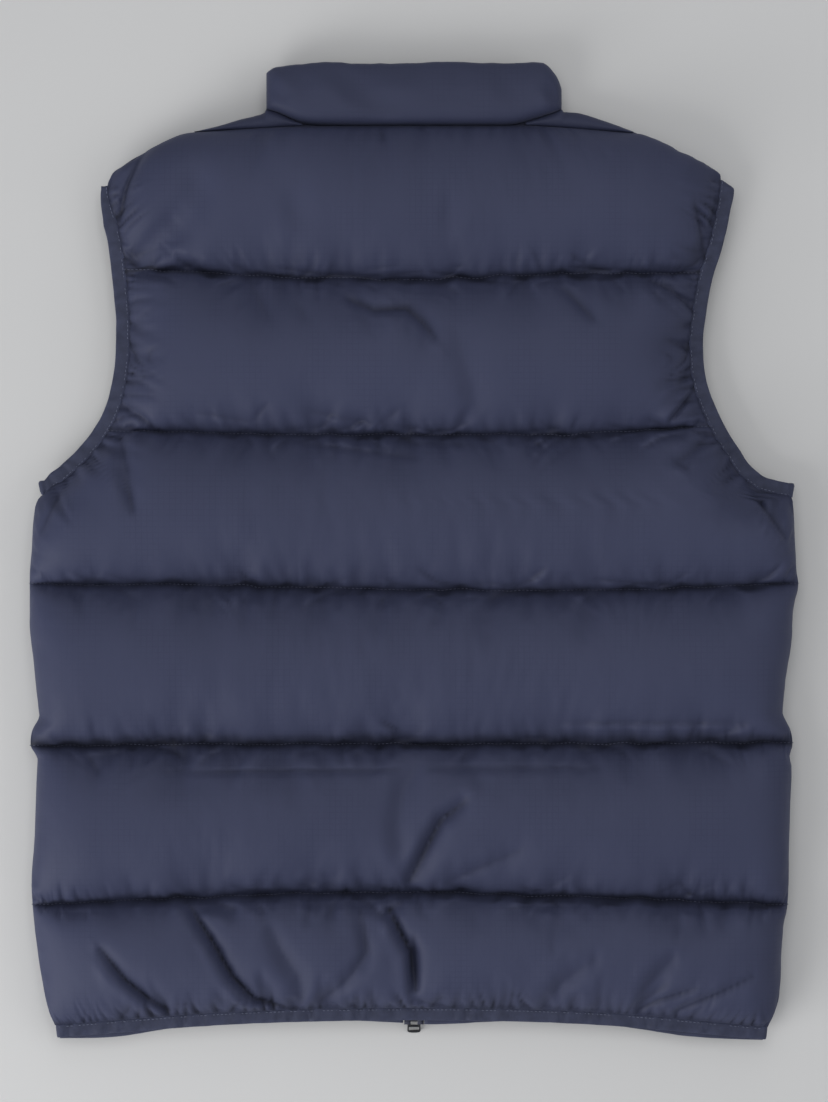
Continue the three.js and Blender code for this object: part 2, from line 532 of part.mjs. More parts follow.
// Stations that take a tape round the end of one layer and on along the other.
function turnOver({ middle, across, onward }, startsAbove) {
  return TURN_STEPS.map((degrees) => {
    const a = THREE.MathUtils.degToRad(degrees);
    const rise = startsAbove ? Math.cos(a) : -Math.cos(a);
    const up = new THREE.Vector3(0, 0, rise).addScaledVector(onward, Math.sin(a));
    const centre = new THREE.Vector3(middle.x, middle.y, INSIDE_Z).addScaledVector(up, TAPE_LEVEL);
    return { middle: centre, across, up };
  });
}

// Stations of a tape sewn beside an edge, whose corners are kept at an even distance from it.
// outwardTurn is 1 where the tape lies to the left of the edge as it runs, and -1 where it lies to the right.
function besideEdge(edge, outwardTurn, level, up, widthAt = () => BINDING_WIDTH) {
  return edge.map((point, i) => {
    const before = point.clone().sub(edge[Math.max(0, i - 1)]).normalize();
    const after = edge[Math.min(edge.length - 1, i + 1)].clone().sub(point).normalize();
    const run = before.clone().add(after).normalize();
    const corner = Math.max(0.5, i === 0 || i === edge.length - 1 ? 1 : run.dot(after));
    const across = new THREE.Vector3(-run.y, run.x, 0).multiplyScalar(outwardTurn);
    const width = widthAt(point.y);
    const middle = new THREE.Vector3(point.x, point.y, level);
    middle.addScaledVector(across, (SEAM_GAP + width / 2) / corner);
    across.multiplyScalar(width / BINDING_WIDTH / corner);
    return { middle, across, up, run: new THREE.Vector3(run.x, run.y, 0) };
  });
}

// The stretchy binding of one armhole: up the back's edge, over the shoulder and down the front's.
function armholeBinding(side) {
  const turn = side === "left" ? 1 : -1;
  const outwards = new THREE.Vector3(-turn, 0, 0);
  const bound = (point) => point.y > UNDERARM_Y[side] && point.y < SHOULDER_TIP_Y[side];
  const backEdge = backRows().map((row) => row[side]).filter(bound);
  const frontEdge = frontRows(side).map((row) => row.outer).filter(bound);
  const narrowed = (distance, taper, width) => lerp(width, BINDING_WIDTH, clamp(distance / taper, 0, 1));
  const widthAt = (y) => Math.min(
    narrowed(SHOULDER_TIP_Y[side] - y, TIP_TAPER, TIP_WIDTH[side]),
    narrowed(y - UNDERARM_Y[side], FOOT_TAPER, FOOT_HEIGHT),
  );
  const onLayer = (edge, level, up) => {
    const [first, ...others] = besideEdge(edge, turn, level, up, widthAt);
    const end = edge[0].clone().lerp(edge[1], FOOT_INSET / Math.abs(edge[1].x - edge[0].x));
    const middle = new THREE.Vector3(end.x, end.y + SEAM_GAP + FOOT_HEIGHT / 2, level);
    const upright = new THREE.Vector3(0, FOOT_HEIGHT / BINDING_WIDTH, 0);
    return [{ ...first, middle, across: upright }, ...others];
  };
  const onBack = onLayer(backEdge, INSIDE_Z + TAPE_LEVEL, ABOVE);
  const onFront = onLayer(frontEdge, INSIDE_Z - TAPE_LEVEL, BELOW);
  const tip = { ...onBack.at(-1), onward: onBack.at(-1).run };
  const foot = { ...onBack[0], onward: outwards };
  return tape([...onBack, ...turnOver(tip, true), ...onFront.reverse(), ...turnOver(foot, false)], true);
}

// The binding of the hem: from the zip round the left side, along the back and round to the zip again.
function hemBinding() {
  const backEdge = [];
  for (let i = 0; i <= HEM_STEPS; i++) {
    const x = lerp(HEM_LEFT_X, HEM_RIGHT_X, i / HEM_STEPS);
    backEdge.push(new THREE.Vector2(x, backHemY(x)));
  }
  const frontEdge = (side) => {
    const zipEdge = (side === "left" ? -1 : 1) * (ZIP_HALF_WIDTH + SEAM_GAP);
    const sewn = frontGrid(side)[0].slice(1, -1).map((point) => new THREE.Vector2(point.x, point.y));
    const end = new THREE.Vector2(zipEdge, frontHemY(zipEdge));
    return side === "left" ? [...sewn, end] : [end, ...sewn];
  };
  const onFront = (side) => besideEdge(frontEdge(side), -1, INSIDE_Z - TAPE_LEVEL, BELOW).reverse();
  const onBack = besideEdge(backEdge, -1, INSIDE_Z + TAPE_LEVEL, ABOVE);
  const leftEnd = { ...onBack[0], onward: onBack[0].run.clone().negate() };
  const rightEnd = { ...onBack.at(-1), onward: onBack.at(-1).run };
  const stations = [
    ...onFront("left"),
    ...turnOver(leftEnd, false),
    ...onBack,
    ...turnOver(rightEnd, true),
    ...onFront("right"),
  ];
  return tape(stations, false);
}

// The zip: two tapes, the closed chain, and a slider at each end of it.
const CHAIN = { width: 6, thickness: 2, bottomY: -347, topY: FRONT_NECK_Y + COLLAR_HEIGHT - 8 };
const CHAIN_Z = INSIDE_Z - 2.4; // the middle of the chain's thickness
const TAPE = { innerX: 3.2, outerX: 7.2, thickness: 1.2, bottomY: -353, topY: FRONT_NECK_Y + COLLAR_HEIGHT };
const SLIDER = { length: 11, wideWidth: 9.6, narrowWidth: 8, outerPlate: 1.4, innerPlate: 0.8, clearance: 0.3 };
const BRIDGE = { width: 2.6, length: 7, bar: 1.2, height: 3.4 };
const PULL = { length: 24.6, width: 10, headWidth: 7, thickness: 1.5, pin: 0.75, frame: 1.1, tipGap: 0.4 };
const EYE = { halfWidth: 1.8, reach: 5.8 };
const WINDOWS = [{ from: 14.6, to: 18.2 }, { from: 19.6, to: 23.2 }];

function box(lowX, lowY, lowZ, highX, highY, highZ) {
  const made = new THREE.BoxGeometry(highX - lowX, highY - lowY, highZ - lowZ);
  return made.translate((lowX + highX) / 2, (lowY + highY) / 2, (lowZ + highZ) / 2);
}

function zipTape(sign) {
  const [a, b] = [sign * TAPE.innerX, sign * TAPE.outerX];
  const half = TAPE.thickness / 2;
  return box(Math.min(a, b), TAPE.bottomY, CHAIN_Z - half, Math.max(a, b), TAPE.topY, CHAIN_Z + half);
}

function zipChain() {
  const [halfX, halfZ] = [CHAIN.width / 2, CHAIN.thickness / 2];
  return box(-halfX, CHAIN.bottomY, CHAIN_Z - halfZ, halfX, CHAIN.topY, CHAIN_Z + halfZ);
}

const SLIDER_OUTER_Z = CHAIN_Z - CHAIN.thickness / 2 - SLIDER.clearance - SLIDER.outerPlate;
const PULL_AXIS = {
  offset: -1.2,
  z: SLIDER_OUTER_Z - BRIDGE.height + BRIDGE.bar + SLIDER.clearance + PULL.pin,
};

// A slider's body. wideEnd is 1 where its wide end points to the collar and -1 where it points to the hem.
function sliderBody(middleY, wideEnd) {
  const half = SLIDER.length / 2;
  const top = CHAIN_Z + CHAIN.thickness / 2 + SLIDER.clearance + SLIDER.innerPlate;
  const [wide, narrow] = [SLIDER.wideWidth / 2, SLIDER.narrowWidth / 2];
  const corner = 1.4;
  const plan = new THREE.Shape(
    [
      [-narrow, -half + corner], [-narrow + corner, -half], [narrow - corner, -half], [narrow, -half + corner],
      [wide, half - corner], [wide - corner, half], [-wide + corner, half], [-wide, half - corner],
    ].map(([x, y]) => new THREE.Vector2(x, y * wideEnd)),
  );
  const block = new THREE.ExtrudeGeometry(plan, { depth: top - SLIDER_OUTER_Z, bevelEnabled: false });
  block.translate(0, middleY, SLIDER_OUTER_Z);
  const channelX = CHAIN.width / 2 + SLIDER.clearance;
  const channelZ = CHAIN.thickness / 2 + SLIDER.clearance;
  const slotZ = TAPE.thickness / 2 + SLIDER.clearance;
  const far = SLIDER.length;
  const channel = box(-channelX, middleY - far, CHAIN_Z - channelZ, channelX, middleY + far, CHAIN_Z + channelZ);
  const slot = box(-far, middleY - far, CHAIN_Z - slotZ, far, middleY + far, CHAIN_Z + slotZ);
  const postInner = middleY + wideEnd * (half - 3.6);
  const postOuter = middleY + wideEnd * (half - 0.6);
  const post = box(
    -1.2, Math.min(postInner, postOuter), SLIDER_OUTER_Z + 0.5,
    1.2, Math.max(postInner, postOuter), top - 0.3,
  );
  const arch = box(
    -BRIDGE.width / 2, middleY - BRIDGE.length / 2, SLIDER_OUTER_Z - BRIDGE.height,
    BRIDGE.width / 2, middleY + BRIDGE.length / 2, SLIDER_OUTER_Z + 0.5,
  );
  const archway = box(
    -BRIDGE.width, middleY - BRIDGE.length / 2 + BRIDGE.bar, SLIDER_OUTER_Z - BRIDGE.height + BRIDGE.bar,
    BRIDGE.width, middleY + BRIDGE.length / 2 - BRIDGE.bar, SLIDER_OUTER_Z,
  );
  const plates = solid(block).subtract(solid(channel)).subtract(solid(slot));
  const bridge = solid(arch).subtract(solid(archway));
  return geometryOf(plates.add(solid(post)).add(bridge));
}

// A pull tab: an eye round the bridge, a plate, and an open ladder at its free end.
// It is drawn flat along -Y from its axis, then tipped until its end nearly meets the surface.
function pullTab(middleY) {
  const outline = new THREE.Shape();
  const [head, wide, end] = [PULL.headWidth / 2, PULL.width / 2, PULL.length];
  outline.moveTo(-head, -0.2);
  outline.lineTo(-head, -EYE.reach);
  outline.lineTo(-wide, -EYE.reach - 3.5);
  outline.lineTo(-wide, -end + 1.8);
  outline.quadraticCurveTo(-wide, -end + 0.5, -wide + 2, -end + 0.25);
  outline.quadraticCurveTo(0, -end - 0.25, wide - 2, -end + 0.25);
  outline.quadraticCurveTo(wide, -end + 0.5, wide, -end + 1.8);
  outline.lineTo(wide, -EYE.reach - 3.5);
  outline.lineTo(head, -EYE.reach);
  outline.lineTo(head, -0.2);
  outline.closePath();
  const half = PULL.thickness / 2;
  const extrude = { depth: PULL.thickness, bevelEnabled: false, curveSegments: 4 };
  const plate = new THREE.ExtrudeGeometry(outline, extrude).translate(0, 0, -half);
  const eye = box(-EYE.halfWidth, -EYE.reach, -PULL.thickness, EYE.halfWidth, 1, PULL.thickness);
  const windowHalf = PULL.width / 2 - PULL.frame;
  const deep = PULL.thickness;
  const windows = WINDOWS.map(({ from, to }) => box(-windowHalf, -to, -deep, windowHalf, -from, deep));
  const pin = new THREE.CylinderGeometry(PULL.pin, PULL.pin, PULL.headWidth, 12).rotateZ(Math.PI / 2);
  const cut = [eye, ...windows].reduce((left, hole) => left.subtract(solid(hole)), solid(plate));
  const made = cut.add(solid(pin));
  const tilt = Math.asin((PULL_AXIS.z - PULL.tipGap - half) / PULL.length);
  return geometryOf(made).rotateX(tilt).translate(0, middleY + PULL_AXIS.offset, PULL_AXIS.z);
}

const SLIDER_Y = {
  bottom: CHAIN.bottomY - SLIDER.clearance - 3.6 + SLIDER.length / 2,
  top: CHAIN.topY + SLIDER.clearance + 3.6 - SLIDER.length / 2,
};

function finish(color, roughness, metalness) {
  return new THREE.MeshStandardMaterial({ color, roughness, metalness });
}

const vest = new THREE.Group();
function add(name, geometry, material) {
  const mesh = new THREE.Mesh(geometry, material);
  mesh.name = name;
  vest.add(mesh);
}

const shell = () => finish(0x3d4159, 0.5, 0);
const knit = () => finish(0x41455a, 0.75, 0);
const zipNavy = () => finish(0x2b2e40, 0.7, 0);
const gunmetal = () => finish(0x33353d, 0.35, 0.9);

add("back_panel", backPanel(), shell());
add("front_left", frontPanel("left"), shell());
add("front_right", frontPanel("right"), shell());
add("collar", collarShape(), shell());
add("armhole_binding_left", armholeBinding("left"), knit());
add("armhole_binding_right", armholeBinding("right"), knit());
add("hem_binding", hemBinding(), knit());
add("zip_tape_left", zipTape(-1), zipNavy());
add("zip_tape_right", zipTape(1), zipNavy());
add("zip_chain", zipChain(), zipNavy());
add("zip_slider_bottom", sliderBody(SLIDER_Y.bottom, -1), gunmetal());
add("zip_slider_top", sliderBody(SLIDER_Y.top, 1), gunmetal());
add("zip_pull_bottom", pullTab(SLIDER_Y.bottom), gunmetal());
add("zip_pull_top", pullTab(SLIDER_Y.top), gunmetal());

export default vest;
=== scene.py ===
"""A navy quilted vest, zipped shut and laid face down on a pale floor, seen from straight above."""
import math

import bpy
import numpy as np
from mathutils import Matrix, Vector, noise


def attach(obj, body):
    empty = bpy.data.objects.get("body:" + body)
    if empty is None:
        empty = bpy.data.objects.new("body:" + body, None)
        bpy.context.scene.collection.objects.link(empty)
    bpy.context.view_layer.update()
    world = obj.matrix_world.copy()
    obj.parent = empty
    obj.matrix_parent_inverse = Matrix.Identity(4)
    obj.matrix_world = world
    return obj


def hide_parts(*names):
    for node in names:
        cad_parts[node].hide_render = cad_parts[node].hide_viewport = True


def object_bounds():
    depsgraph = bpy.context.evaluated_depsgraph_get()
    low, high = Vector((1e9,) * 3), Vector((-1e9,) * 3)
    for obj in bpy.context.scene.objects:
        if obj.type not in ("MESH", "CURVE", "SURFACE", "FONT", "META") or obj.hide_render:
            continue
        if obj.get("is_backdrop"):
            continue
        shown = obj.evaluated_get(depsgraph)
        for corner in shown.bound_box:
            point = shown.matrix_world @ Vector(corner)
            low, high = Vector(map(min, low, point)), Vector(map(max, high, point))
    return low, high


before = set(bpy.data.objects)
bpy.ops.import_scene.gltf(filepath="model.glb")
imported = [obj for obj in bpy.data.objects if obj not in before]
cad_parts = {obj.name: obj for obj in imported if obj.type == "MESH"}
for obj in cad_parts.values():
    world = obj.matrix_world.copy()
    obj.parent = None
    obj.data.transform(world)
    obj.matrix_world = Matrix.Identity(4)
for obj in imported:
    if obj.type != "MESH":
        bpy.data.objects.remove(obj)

cad_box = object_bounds()


# Camera, floor and light. The photo is taken from straight above with a long lens, and the vest
# fills its frame. Most of the light is soft and comes from the lower left.
PHOTO_HEIGHT = 1102  # pixels
MM_PER_PIXEL = 0.76
CAMERA_HEIGHT = 2.8
SCALE_LEVEL = 0.025  # height at which the photo's scale is measured

camera_data = bpy.data.cameras.new("camera")
camera_data.sensor_fit = "VERTICAL"
camera_data.angle = 2 * math.atan(PHOTO_HEIGHT * MM_PER_PIXEL / 2000 / (CAMERA_HEIGHT - SCALE_LEVEL))
camera = bpy.data.objects.new("camera", camera_data)
camera.location = (0, 0, CAMERA_HEIGHT)
bpy.context.scene.collection.objects.link(camera)
bpy.context.scene.camera = camera
bpy.context.scene.view_settings.view_transform = "Standard"


def nodes_of(name):
    """A new material, its nodes, its links and its shader."""
    material = bpy.data.materials.new(name)
    material.use_nodes = True
    tree = material.node_tree
    return material, tree.nodes, tree.links, tree.nodes["Principled BSDF"]


def set_inputs(node, values):
    for name, value in values.items():
        node.inputs[name].default_value = value


def plain(name, colour, roughness):
    """A material of one colour all over."""
    material, _, _, shader = nodes_of(name)
    set_inputs(shader, {"Base Color": (*colour, 1), "Roughness": roughness})
    return material


floor_data = bpy.data.meshes.new("floor")
floor_data.from_pydata([(-4, -4, 0), (4, -4, 0), (4, 4, 0), (-4, 4, 0)], [], [(0, 1, 2, 3)])
floor_data.materials.append(plain("floor_paper", (0.505, 0.503, 0.5), 0.9))
floor = bpy.data.objects.new("floor", floor_data)
bpy.context.scene.collection.objects.link(floor)
floor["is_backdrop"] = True

world = bpy.data.worlds.new("studio")
world.use_nodes = True
set_inputs(world.node_tree.nodes["Background"], {"Color": (0.92, 0.95, 1.0, 1), "Strength": 0.42})
bpy.context.scene.world = world

LIGHTS = (  # name, place, size, watts
    ("key_lower_left", (-1.5, -1.5, 1.35), 1.4, 31),
    ("low_left", (-1.9, -1.1, 0.5), 0.8, 16),
    ("overhead", (-0.05, 0.6, 2.6), 1.7, 20),
    ("fill_right", (1.9, -0.3, 1.5), 1.6, 9),
    ("fill_top", (0.2, 1.9, 1.3), 1.4, 5),
)
for name, place, size, watts in LIGHTS:
    light_data = bpy.data.lights.new(name, "AREA")
    light_data.size = size
    light_data.energy = watts
    light = bpy.data.objects.new(name, light_data)
    light.location = place
    light.rotation_euler = (-Vector(place)).to_track_quat("-Z", "Y").to_euler()
    bpy.context.scene.collection.objects.link(light)


# Back panel. One width of thin woven nylon over padding, stitched through from side to side into six
# channels. The cloth is longer than the seams that hold it, so it swells between them and puckers
# beside them. Its sizes are in millimetres, as are those of the other pieces of cloth.
INSIDE_Z = 18.0  # where the two layers of the vest lie on each other
LAYER_GAP = 0.15
BACK_INSIDE, FRONT_INSIDE = INSIDE_Z + LAYER_GAP, INSIDE_Z - LAYER_GAP
EDGE_THICKNESS = 2.5
CHANNEL_HEIGHT = 118
HALF_WIDTH = 290
HEM_FROM, HEM_LENGTH = -272, 541
THREAD_RISE = 0.1
DEEPEST_PAINTED_SHADE = 0.85
FAR = 1e4  # further off than any place on the vest

# Seams across the back, from the hem up: heights at the left, a quarter, the middle, three quarters
# and the right, then the wall's thickness at the seam and the fill of the channel above it.
SEAMS = [
    (-361, -351, -348, -351, -362.5, 3, 23),
    (-269, -262.5, -259.5, -263, -269, 7, 23),
    (-148, -147, -146.5, -146.5, -146, 6, 24),
    (-24.5, -26, -29.5, -29.5, -24.5, 7, 23),
    (91.5, 89, 88.5, 88.5, 95, 7, 22),
    (214.5, 209, 206.5, 210.5, 211.5, 7, 20),
    (318.5, 323, 323.4, 323.4, 317.5, 6, 0),
]
CHANNELS = len(SEAMS) - 1
# Outlines of the back from the hem up to the neck: height, x
LEFT_EDGE = [
    (-362, -272.8), (-349, -278.2), (-326, -283), (-303.6, -286.5), (-269.4, -290.3), (-250, -291),
    (-216, -288.6), (-174, -287.3), (-158, -286.4), (-147.8, -291.8), (-136, -290.3), (-126, -285),
    (-113.6, -286.5), (-83, -289.6), (-53, -292.5), (-21, -292.5), (0, -291), (30, -288.8),
    (37, -287), (41, -284), (47.5, -276.6), (55, -265), (61, -258.4), (68.8, -250), (84, -237.5),
    (103, -226.5), (125.8, -220), (148.6, -217), (175, -216.6), (205.6, -219.3), (236, -223),
    (252, -227), (266.4, -231.8), (276, -233.4), (284, -231), (291.5, -223.4), (301.3, -208.2),
    (309, -193), (315.8, -177.8), (320.3, -162.6), (324.1, -147.4), (328.7, -132.2), (331.7, -119),
    (334, -113),
]
RIGHT_EDGE = [
    (-363, 269), (-349, 275.1), (-334, 278.2), (-303.6, 279.7), (-284.6, 281.2), (-269.4, 284.2),
    (-227.6, 285.4), (-190, 286.5), (-165, 287.3), (-156, 285.8), (-147.8, 288), (-136.4, 286.5),
    (-123, 280.4), (-98, 282.7), (-68, 287.3), (-45, 288.4), (-25.5, 292.5), (-14.8, 291.1),
    (15.6, 289.6), (36, 288.4), (41, 287), (43.2, 276), (46.7, 263.3), (53.6, 253.4), (61, 246),
    (71.3, 239.4), (84, 231), (109, 218.8), (130.6, 212), (158.5, 209.8), (185.8, 212.8),
    (211.7, 217.8), (233.2, 224.7), (264.9, 231.6), (281, 233.5), (286.6, 233), (288.8, 230.6),
    (296.8, 217.4), (303.6, 202.2), (310.5, 187), (317.3, 171.8), (323.4, 156.6), (328.7, 141.4),
    (333.3, 126.2), (334.4, 114),
]
UNDERARM = {"left": 40, "right": 38}
SHOULDER_TIP = {"left": 276.5, "right": 281.5}


def along(table, place, column=1):
    """A column of a table at places in its first column, on a smooth curve through the rows."""
    rows = np.array(table, float)
    if rows[-1, 0] < rows[0, 0]:
        rows = rows[::-1]
    x, y = rows[:, 0], rows[:, column]
    chord = np.diff(y) / np.diff(x)
    slope = np.concatenate([chord[:1], (y[2:] - y[:-2]) / (x[2:] - x[:-2]), chord[-1:]])
    i = np.clip(np.searchsorted(x, place, side="right") - 1, 0, len(x) - 2)
    t = np.clip((place - x[i]) / (x[i + 1] - x[i]), 0, 1)
    span = x[i + 1] - x[i]

    def limited(m):
        steep = np.sign(chord[i]) * np.minimum(np.abs(m), 3 * np.abs(chord[i]))
        return np.where(m * chord[i] <= 0, 0, steep) * span

    return (
        y[i] * (1 + 2 * t) * (1 - t) ** 2
        + limited(slope[i]) * t * (1 - t) ** 2
        + y[i + 1] * t * t * (3 - 2 * t)
        + limited(slope[i + 1]) * t * t * (t - 1)
    )


def seam_y(index, u):
    """The height of a seam at a share of its length, from the left."""
    heights = SEAMS[index][:5]
    return along([(i / 4, y) for i, y in enumerate(heights)], u)


def eased(count, pull):
    """Shares from 0 to 1 that lie closer together at both ends."""
    u = np.linspace(0, 1, count + 1)
    return u - pull * np.sin(2 * np.pi * u) / (2 * np.pi)


def swell(distance, rounding):
    """A round rise from 0 at an edge to 1."""
    return np.sqrt(1 - (1 - np.clip(distance / rounding, 0, 1)) ** 2)


def bell(distance, width):
    """1 on a line, and dying out on both sides of it."""
    return np.exp(-((distance / width) ** 2))


def gathered_swell(distance):
    """Beside a bound edge the padding rises slowly, because the binding draws it in."""
    return np.sin(np.pi / 2 * np.clip(distance / 34, 0, 1)) ** 0.85


def channel_shape(t):
    """The swell of a channel: nearly level in the middle, and steeper at its upper seam."""
    blunt = 2.7 + 0.9 * np.clip(2 * t - 1, 0, 1)
    steep = 0.5 - 0.1 * np.clip(2 * t - 1, 0, 1)
    return np.maximum(0, 1 - np.abs(2 * t - 1) ** blunt) ** steep


def smooth_noise(x, y, size, seed):
    """Soft random unevenness between about -1 and 1, with features of a given size."""
    flat = zip(np.ravel(x) / size, np.ravel(y) / size)
    values = [noise.noise(Vector((a, b, 7.3 * seed))) for a, b in flat]
    return 1.6 * np.reshape(values, np.shape(x))


def distance_to_path(x, y, path):
    """Signed distance to a bent line and the share of it that is nearest."""
    best = np.full(np.shape(x), FAR)
    side = np.ones(np.shape(x))
    share = np.zeros(np.shape(x))
    points = np.array(path, float)
    lengths = np.hypot(*np.diff(points, axis=0).T)
    total = lengths.sum()
    gone = 0.0
    for a, b, length in zip(points[:-1], points[1:], lengths):
        run = (b - a) / length
        t = np.clip((x - a[0]) * run[0] + (y - a[1]) * run[1], 0, length)
        dx, dy = x - a[0] - run[0] * t, y - a[1] - run[1] * t
        away = np.hypot(dx, dy)
        nearer = away < best
        best = np.where(nearer, away, best)
        side = np.where(nearer, np.sign(run[0] * dy - run[1] * dx), side)
        share = np.where(nearer, (gone + t) / total, share)
        gone += length
    return best * side, share


def crease_field(x, y, creases):
    """Depth of all creases at places: path, half width, depth, and how sharp (0 soft, 1 sharp).
    Each has a bank on the right of its path, because the cloth folds over there."""
    depth = np.zeros(np.shape(x))
    for path, width, deep, sharp in creases:
        d, share = distance_to_path(x, y, path)
        cusp = np.exp(-np.abs(d) / (0.55 * width))
        bank = 0.45 * bell(d + 1.5 * width, 0.8 * width)
        ends = np.sin(np.pi * np.clip(share, 0.0, 1.0)) ** 0.5
        depth += deep * ((1 - sharp) * bell(d, width) + sharp * cusp - bank) * (0.35 + 0.65 * ends)
    return depth


def pairs(shape, down, over):
    """Neighbours on a grid, as two sets in which no point is used twice."""
    rows, columns = shape
    for first in (0, 1):
        if down:
            left = slice(max(0, -over), columns - max(0, over))
            right = slice(max(0, over), columns - max(0, -over))
            yield (slice(first, rows - 1, 2), left), (slice(first + 1, rows, 2), right)
        else:
            yield (slice(None), slice(first, columns - 1, 2)), (slice(None), slice(first + 1, columns, 2))


STIFFNESS = 0.05
GLIDE = 0.88  # the share of its speed that the cloth keeps from step to step
SLANTING_STRENGTH = 0.6


def settle(cloth, pattern, longer, held, push, steps, reach):
    """Blow up cloth by a push along its normals. It is longer than the pattern by shares of its length
    across and up, so it folds. No point goes further from the pattern in plan than its reach."""
    springs = []
    across, up = longer
    slanting = (across + up) / 2
    for down, over, extra in ((0, 1, across), (1, 0, up), (1, 1, slanting), (1, -1, slanting)):
        strength = SLANTING_STRENGTH if down and over else 1.0
        for a, b in pairs(cloth.shape[:2], down, over):
            rest = np.linalg.norm(pattern[b] - pattern[a], axis=-1) * (1 + (extra[a] + extra[b]) / 2)
            loose_a, loose_b = 1 - held[a], 1 - held[b]
            total = np.maximum(loose_a + loose_b, 1e-9)
            springs.append((a, b, rest, loose_a / total, loose_b / total, strength))
    free = (1 - held)[..., None]
    last = cloth.copy()
    for _ in range(steps):
        normal = np.cross(np.gradient(cloth, axis=1), np.gradient(cloth, axis=0))
        normal /= np.linalg.norm(normal, axis=-1, keepdims=True) + 1e-9
        bent = cloth - pattern - around(cloth - pattern)
        step = GLIDE * (cloth - last) + normal * push[..., None] - STIFFNESS * (bent - around(bent))
        last, cloth = cloth, cloth + free * step
        for _ in range(4):
            for a, b, rest, share_a, share_b, strength in springs:
                d = cloth[b] - cloth[a]
                length = np.linalg.norm(d, axis=-1) + 1e-9
                gap = strength * (length - rest) / length
                cloth[a] += d * (gap * share_a)[..., None]
                cloth[b] -= d * (gap * share_b)[..., None]
        shift = cloth - pattern
        far = np.hypot(shift[..., 0], shift[..., 1])
        keep = np.minimum(1, reach / (far + 1e-9))
        cloth[..., 0] = pattern[..., 0] + shift[..., 0] * keep
        cloth[..., 1] = pattern[..., 1] + shift[..., 1] * keep
    return cloth


def around(grid):
    """The mean of each point's four neighbours."""
    padded = np.pad(grid, ((1, 1), (1, 1), (0, 0)), mode="edge")
    return (padded[:-2, 1:-1] + padded[2:, 1:-1] + padded[1:-1, :-2] + padded[1:-1, 2:]) / 4


def settled(pattern, longer, held, push, steps, reach):
    """Let cloth settle on a coarse grid first and then on finer ones, down to the pattern's own."""
    shift = 0
    for skip, count in zip((4, 2, 1), steps):
        s = (slice(None, None, skip), slice(None, None, skip))
        shape = pattern[s]
        if np.ndim(shift):
            shift = halved(shift)
        extra = (longer[0][s], longer[1][s])
        cloth = settle(shape + shift, shape, extra, held[s], push[s] * skip**1.5, count, reach[s])
        shift = cloth - shape
    return cloth


def halved(grid):
    """The same surface on a grid twice as fine, smooth through its points."""
    for axis in (0, 1):
        g = np.moveaxis(grid, axis, 0)
        out = np.empty((2 * len(g) - 1,) + g.shape[1:])
        out[::2] = g
        padded = np.concatenate([2 * g[:1] - g[1:2], g, 2 * g[-1:] - g[-2:-1]])
        out[1::2] = (9 * (padded[1:-2] + padded[2:-1]) - padded[:-3] - padded[3:]) / 16
        grid = np.moveaxis(out, 0, axis)
    return grid


def puckers(along_seam, from_seam, pitch, reach, seed):
    """Narrow valleys, from 0 to 1 deep, that run away from a seam at uneven distances and die out."""
    still = 0 * from_seam
    slant = along_seam + 1.3 * from_seam * smooth_noise(along_seam, still, 4 * pitch, seed + 0.5)
    slant = slant + 0.7 * pitch * smooth_noise(along_seam, still, 5 * pitch, seed + 0.7)
    line = smooth_noise(slant, 0.25 * from_seam, pitch, seed)
    ends = reach * (0.75 + 0.6 * smooth_noise(along_seam, still, 1.6 * pitch, seed + 0.25))
    width = 0.22 + 1.3 / pitch
    return bell(line, width) * bell(from_seam, np.maximum(2, ends))


def gathers(along_edge, from_edge, pitch, reach, seed):
    """Sharp valleys, from 0 to 1 deep, where an edge is drawn in: nearly even, square to it, and short."""
    still = 0 * from_edge
    uneven = along_edge + 0.9 * pitch * smooth_noise(along_edge, still, 3 * pitch, seed)
    uneven = uneven + 1.1 * from_edge * smooth_noise(along_edge, still, 2.5 * pitch, seed + 0.3)
    valley = 1 - np.abs(np.sin(np.pi * uneven / pitch)) ** 0.7
    strong = np.clip(0.6 + 0.7 * smooth_noise(along_edge, still, 2.2 * pitch, seed + 0.6), 0.1, 1.2)
    ends = reach * np.clip(0.8 + 0.6 * smooth_noise(along_edge, still, 1.1 * pitch, seed + 0.9), 0.3, 1.5)
    return valley * strong * bell(from_edge, ends)


def add_object(name, points, faces, material, painted_light=None, sharp=None):
    """A piece of the vest from points in millimetres. Its first points can be given painted light: painted
    shade on the nylon and a painted highlight on the knit. sharp tells which of them lie on a crease."""
    data = bpy.data.meshes.new(name)
    data.from_pydata((np.array(points) / 1000).tolist(), [], faces)
    data.materials.append(material)
    data.shade_smooth()
    data.validate()
    if painted_light is not None:
        values = np.zeros(len(data.vertices), np.float32)
        values[: painted_light.size] = painted_light.ravel()
        data.attributes.new("painted_light", "FLOAT", "POINT").data.foreach_set("value", values)
    if sharp is not None:
        on_crease = np.zeros(len(data.vertices), bool)
        on_crease[: sharp.size] = sharp.ravel()
        ends = np.empty(2 * len(data.edges), np.int32)
        data.edges.foreach_get("vertices", ends)
        hard = on_crease[ends.reshape(-1, 2)].all(axis=1)
        data.attributes.new("sharp_edge", "BOOLEAN", "EDGE").data.foreach_set("value", hard)
    obj = bpy.data.objects.new(name, data)
    bpy.context.scene.collection.objects.link(obj)
    return obj


def grid_faces(rows, columns, flip):
    """The faces between the points of a grid."""
    faces = []
    for r in range(rows - 1):
        for c in range(columns - 1):
            a = r * columns + c
            quad = (a, a + 1, a + columns + 1, a + columns)
            faces.append(quad[::-1] if flip else quad)
    return faces


